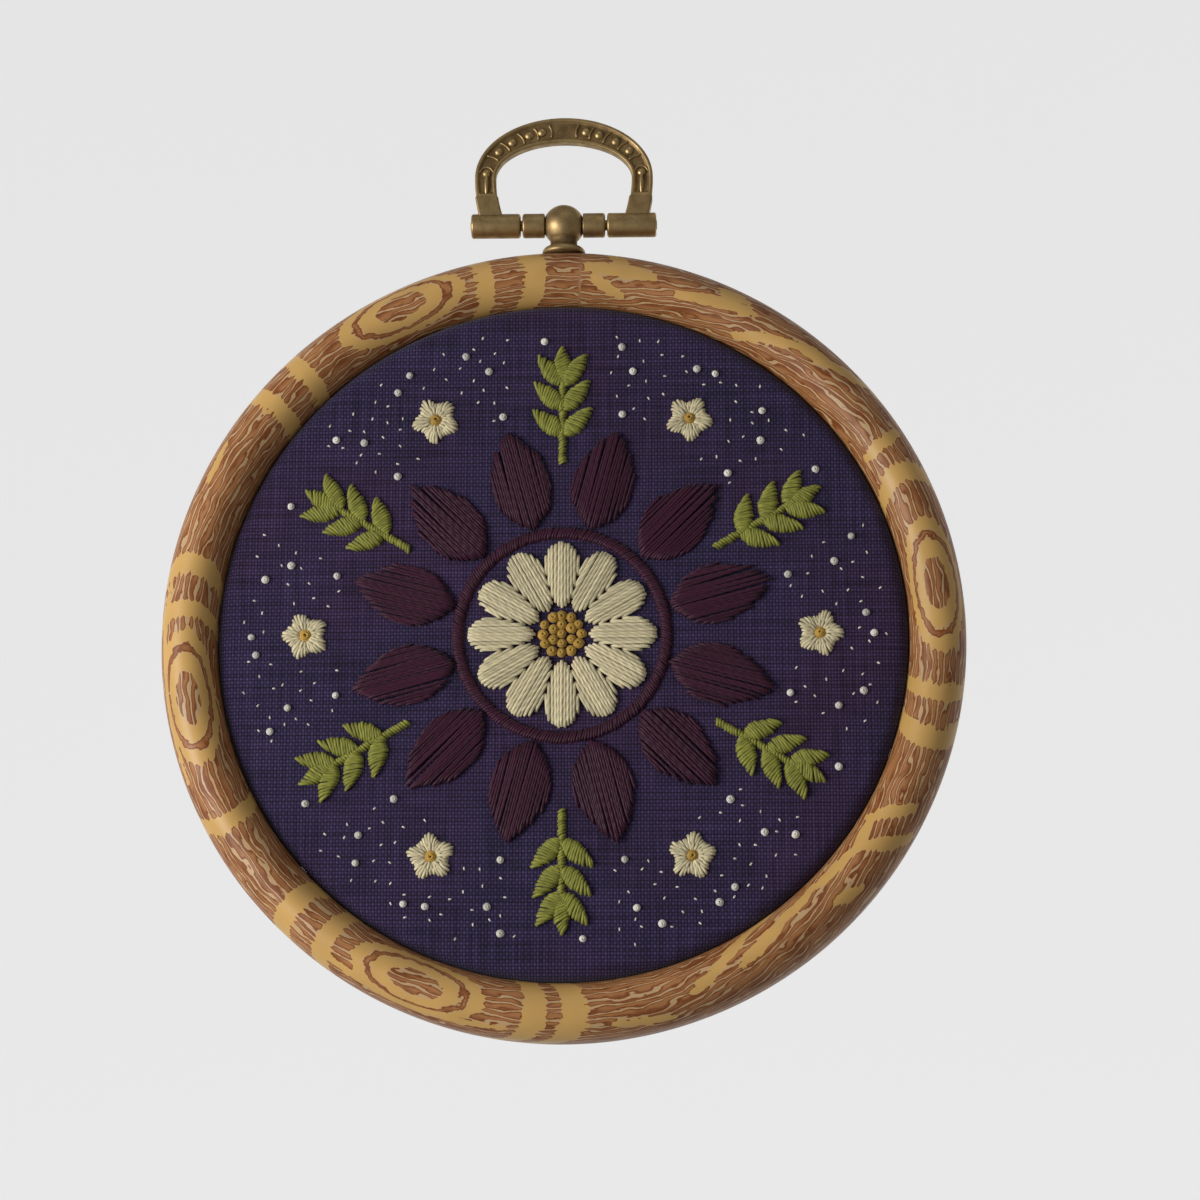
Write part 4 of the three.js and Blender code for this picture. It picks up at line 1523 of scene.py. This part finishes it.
class HOOP_OT_bail(bpy.types.Operator):
    """Makes the hanging loop: a carved arch on two collars and two barrels"""

    bl_idname = "hoop.bail"
    bl_label = "Hanging Loop"

    def execute(self, context):
        left = rod(BARREL_RADIUS, -BARREL_END, -BARREL_INNER, BARREL_ROUND, BARREL_ROUND)
        right = rod(BARREL_RADIUS, BARREL_INNER, BARREL_END, BARREL_ROUND, BARREL_ROUND)
        surface = combined(loop_surface(), loop_ornament(), left, right)
        make_piece("loop", surface, bronze(context), "hanger", ["bail"])
        return {"FINISHED"}


PIN_PROUD = 0.1 * MM


class HOOP_OT_pin(bpy.types.Operator):
    """Makes the pin that the loop turns on"""

    bl_idname = "hoop.pin"
    bl_label = "Pin"

    def execute(self, context):
        reach = BARREL_END + PIN_PROUD
        surface = rod(PIN_RADIUS, -reach, reach, PIN_ROUND, PIN_ROUND)
        make_piece("hinge_pin", surface, bronze(context), "hanger", ["pin"])
        return {"FINISHED"}


class HOOP_PT_panel(bpy.types.Panel):
    """Lists the steps that build the piece"""

    bl_label = "Hoop Embroidery Art"
    bl_idname = "HOOP_PT_panel"
    bl_space_type = "VIEW_3D"
    bl_region_type = "UI"
    bl_category = "Hoop"

    def draw(self, context):
        for operator in OPERATORS:
            self.layout.operator(operator.bl_idname)


OPERATORS = (
    HOOP_OT_stage,
    HOOP_OT_rim,
    HOOP_OT_band,
    HOOP_OT_cloth,
    HOOP_OT_flower,
    HOOP_OT_star,
    HOOP_OT_sprigs,
    HOOP_OT_blossoms,
    HOOP_OT_seeds,
    HOOP_OT_post,
    HOOP_OT_bail,
    HOOP_OT_pin,
)
SETTINGS = {
    "hoop_rim": RimSettings,
    "hoop_band": BandSettings,
    "hoop_cloth": ClothSettings,
    "hoop_thread": ThreadSettings,
    "hoop_hanger": HangerSettings,
    "hoop_stage": StageSettings,
}


def register():
    for group in SETTINGS.values():
        bpy.utils.register_class(group)
    for operator in OPERATORS:
        bpy.utils.register_class(operator)
    bpy.utils.register_class(HOOP_PT_panel)
    for name, group in SETTINGS.items():
        setattr(bpy.types.Scene, name, PointerProperty(type=group))


def unregister():
    for name in SETTINGS:
        delattr(bpy.types.Scene, name)
    bpy.utils.unregister_class(HOOP_PT_panel)
    for operator in reversed(OPERATORS):
        bpy.utils.unregister_class(operator)
    for group in SETTINGS.values():
        bpy.utils.unregister_class(group)


def main():
    register()
    bpy.ops.hoop.stage()
    bpy.ops.hoop.rim()
    bpy.ops.hoop.band()
    bpy.ops.hoop.cloth()
    bpy.ops.hoop.flower()
    bpy.ops.hoop.star()
    bpy.ops.hoop.sprigs()
    bpy.ops.hoop.blossoms()
    bpy.ops.hoop.seeds()
    bpy.ops.hoop.post()
    bpy.ops.hoop.bail()
    bpy.ops.hoop.pin()


if __name__ == "__main__":
    main()
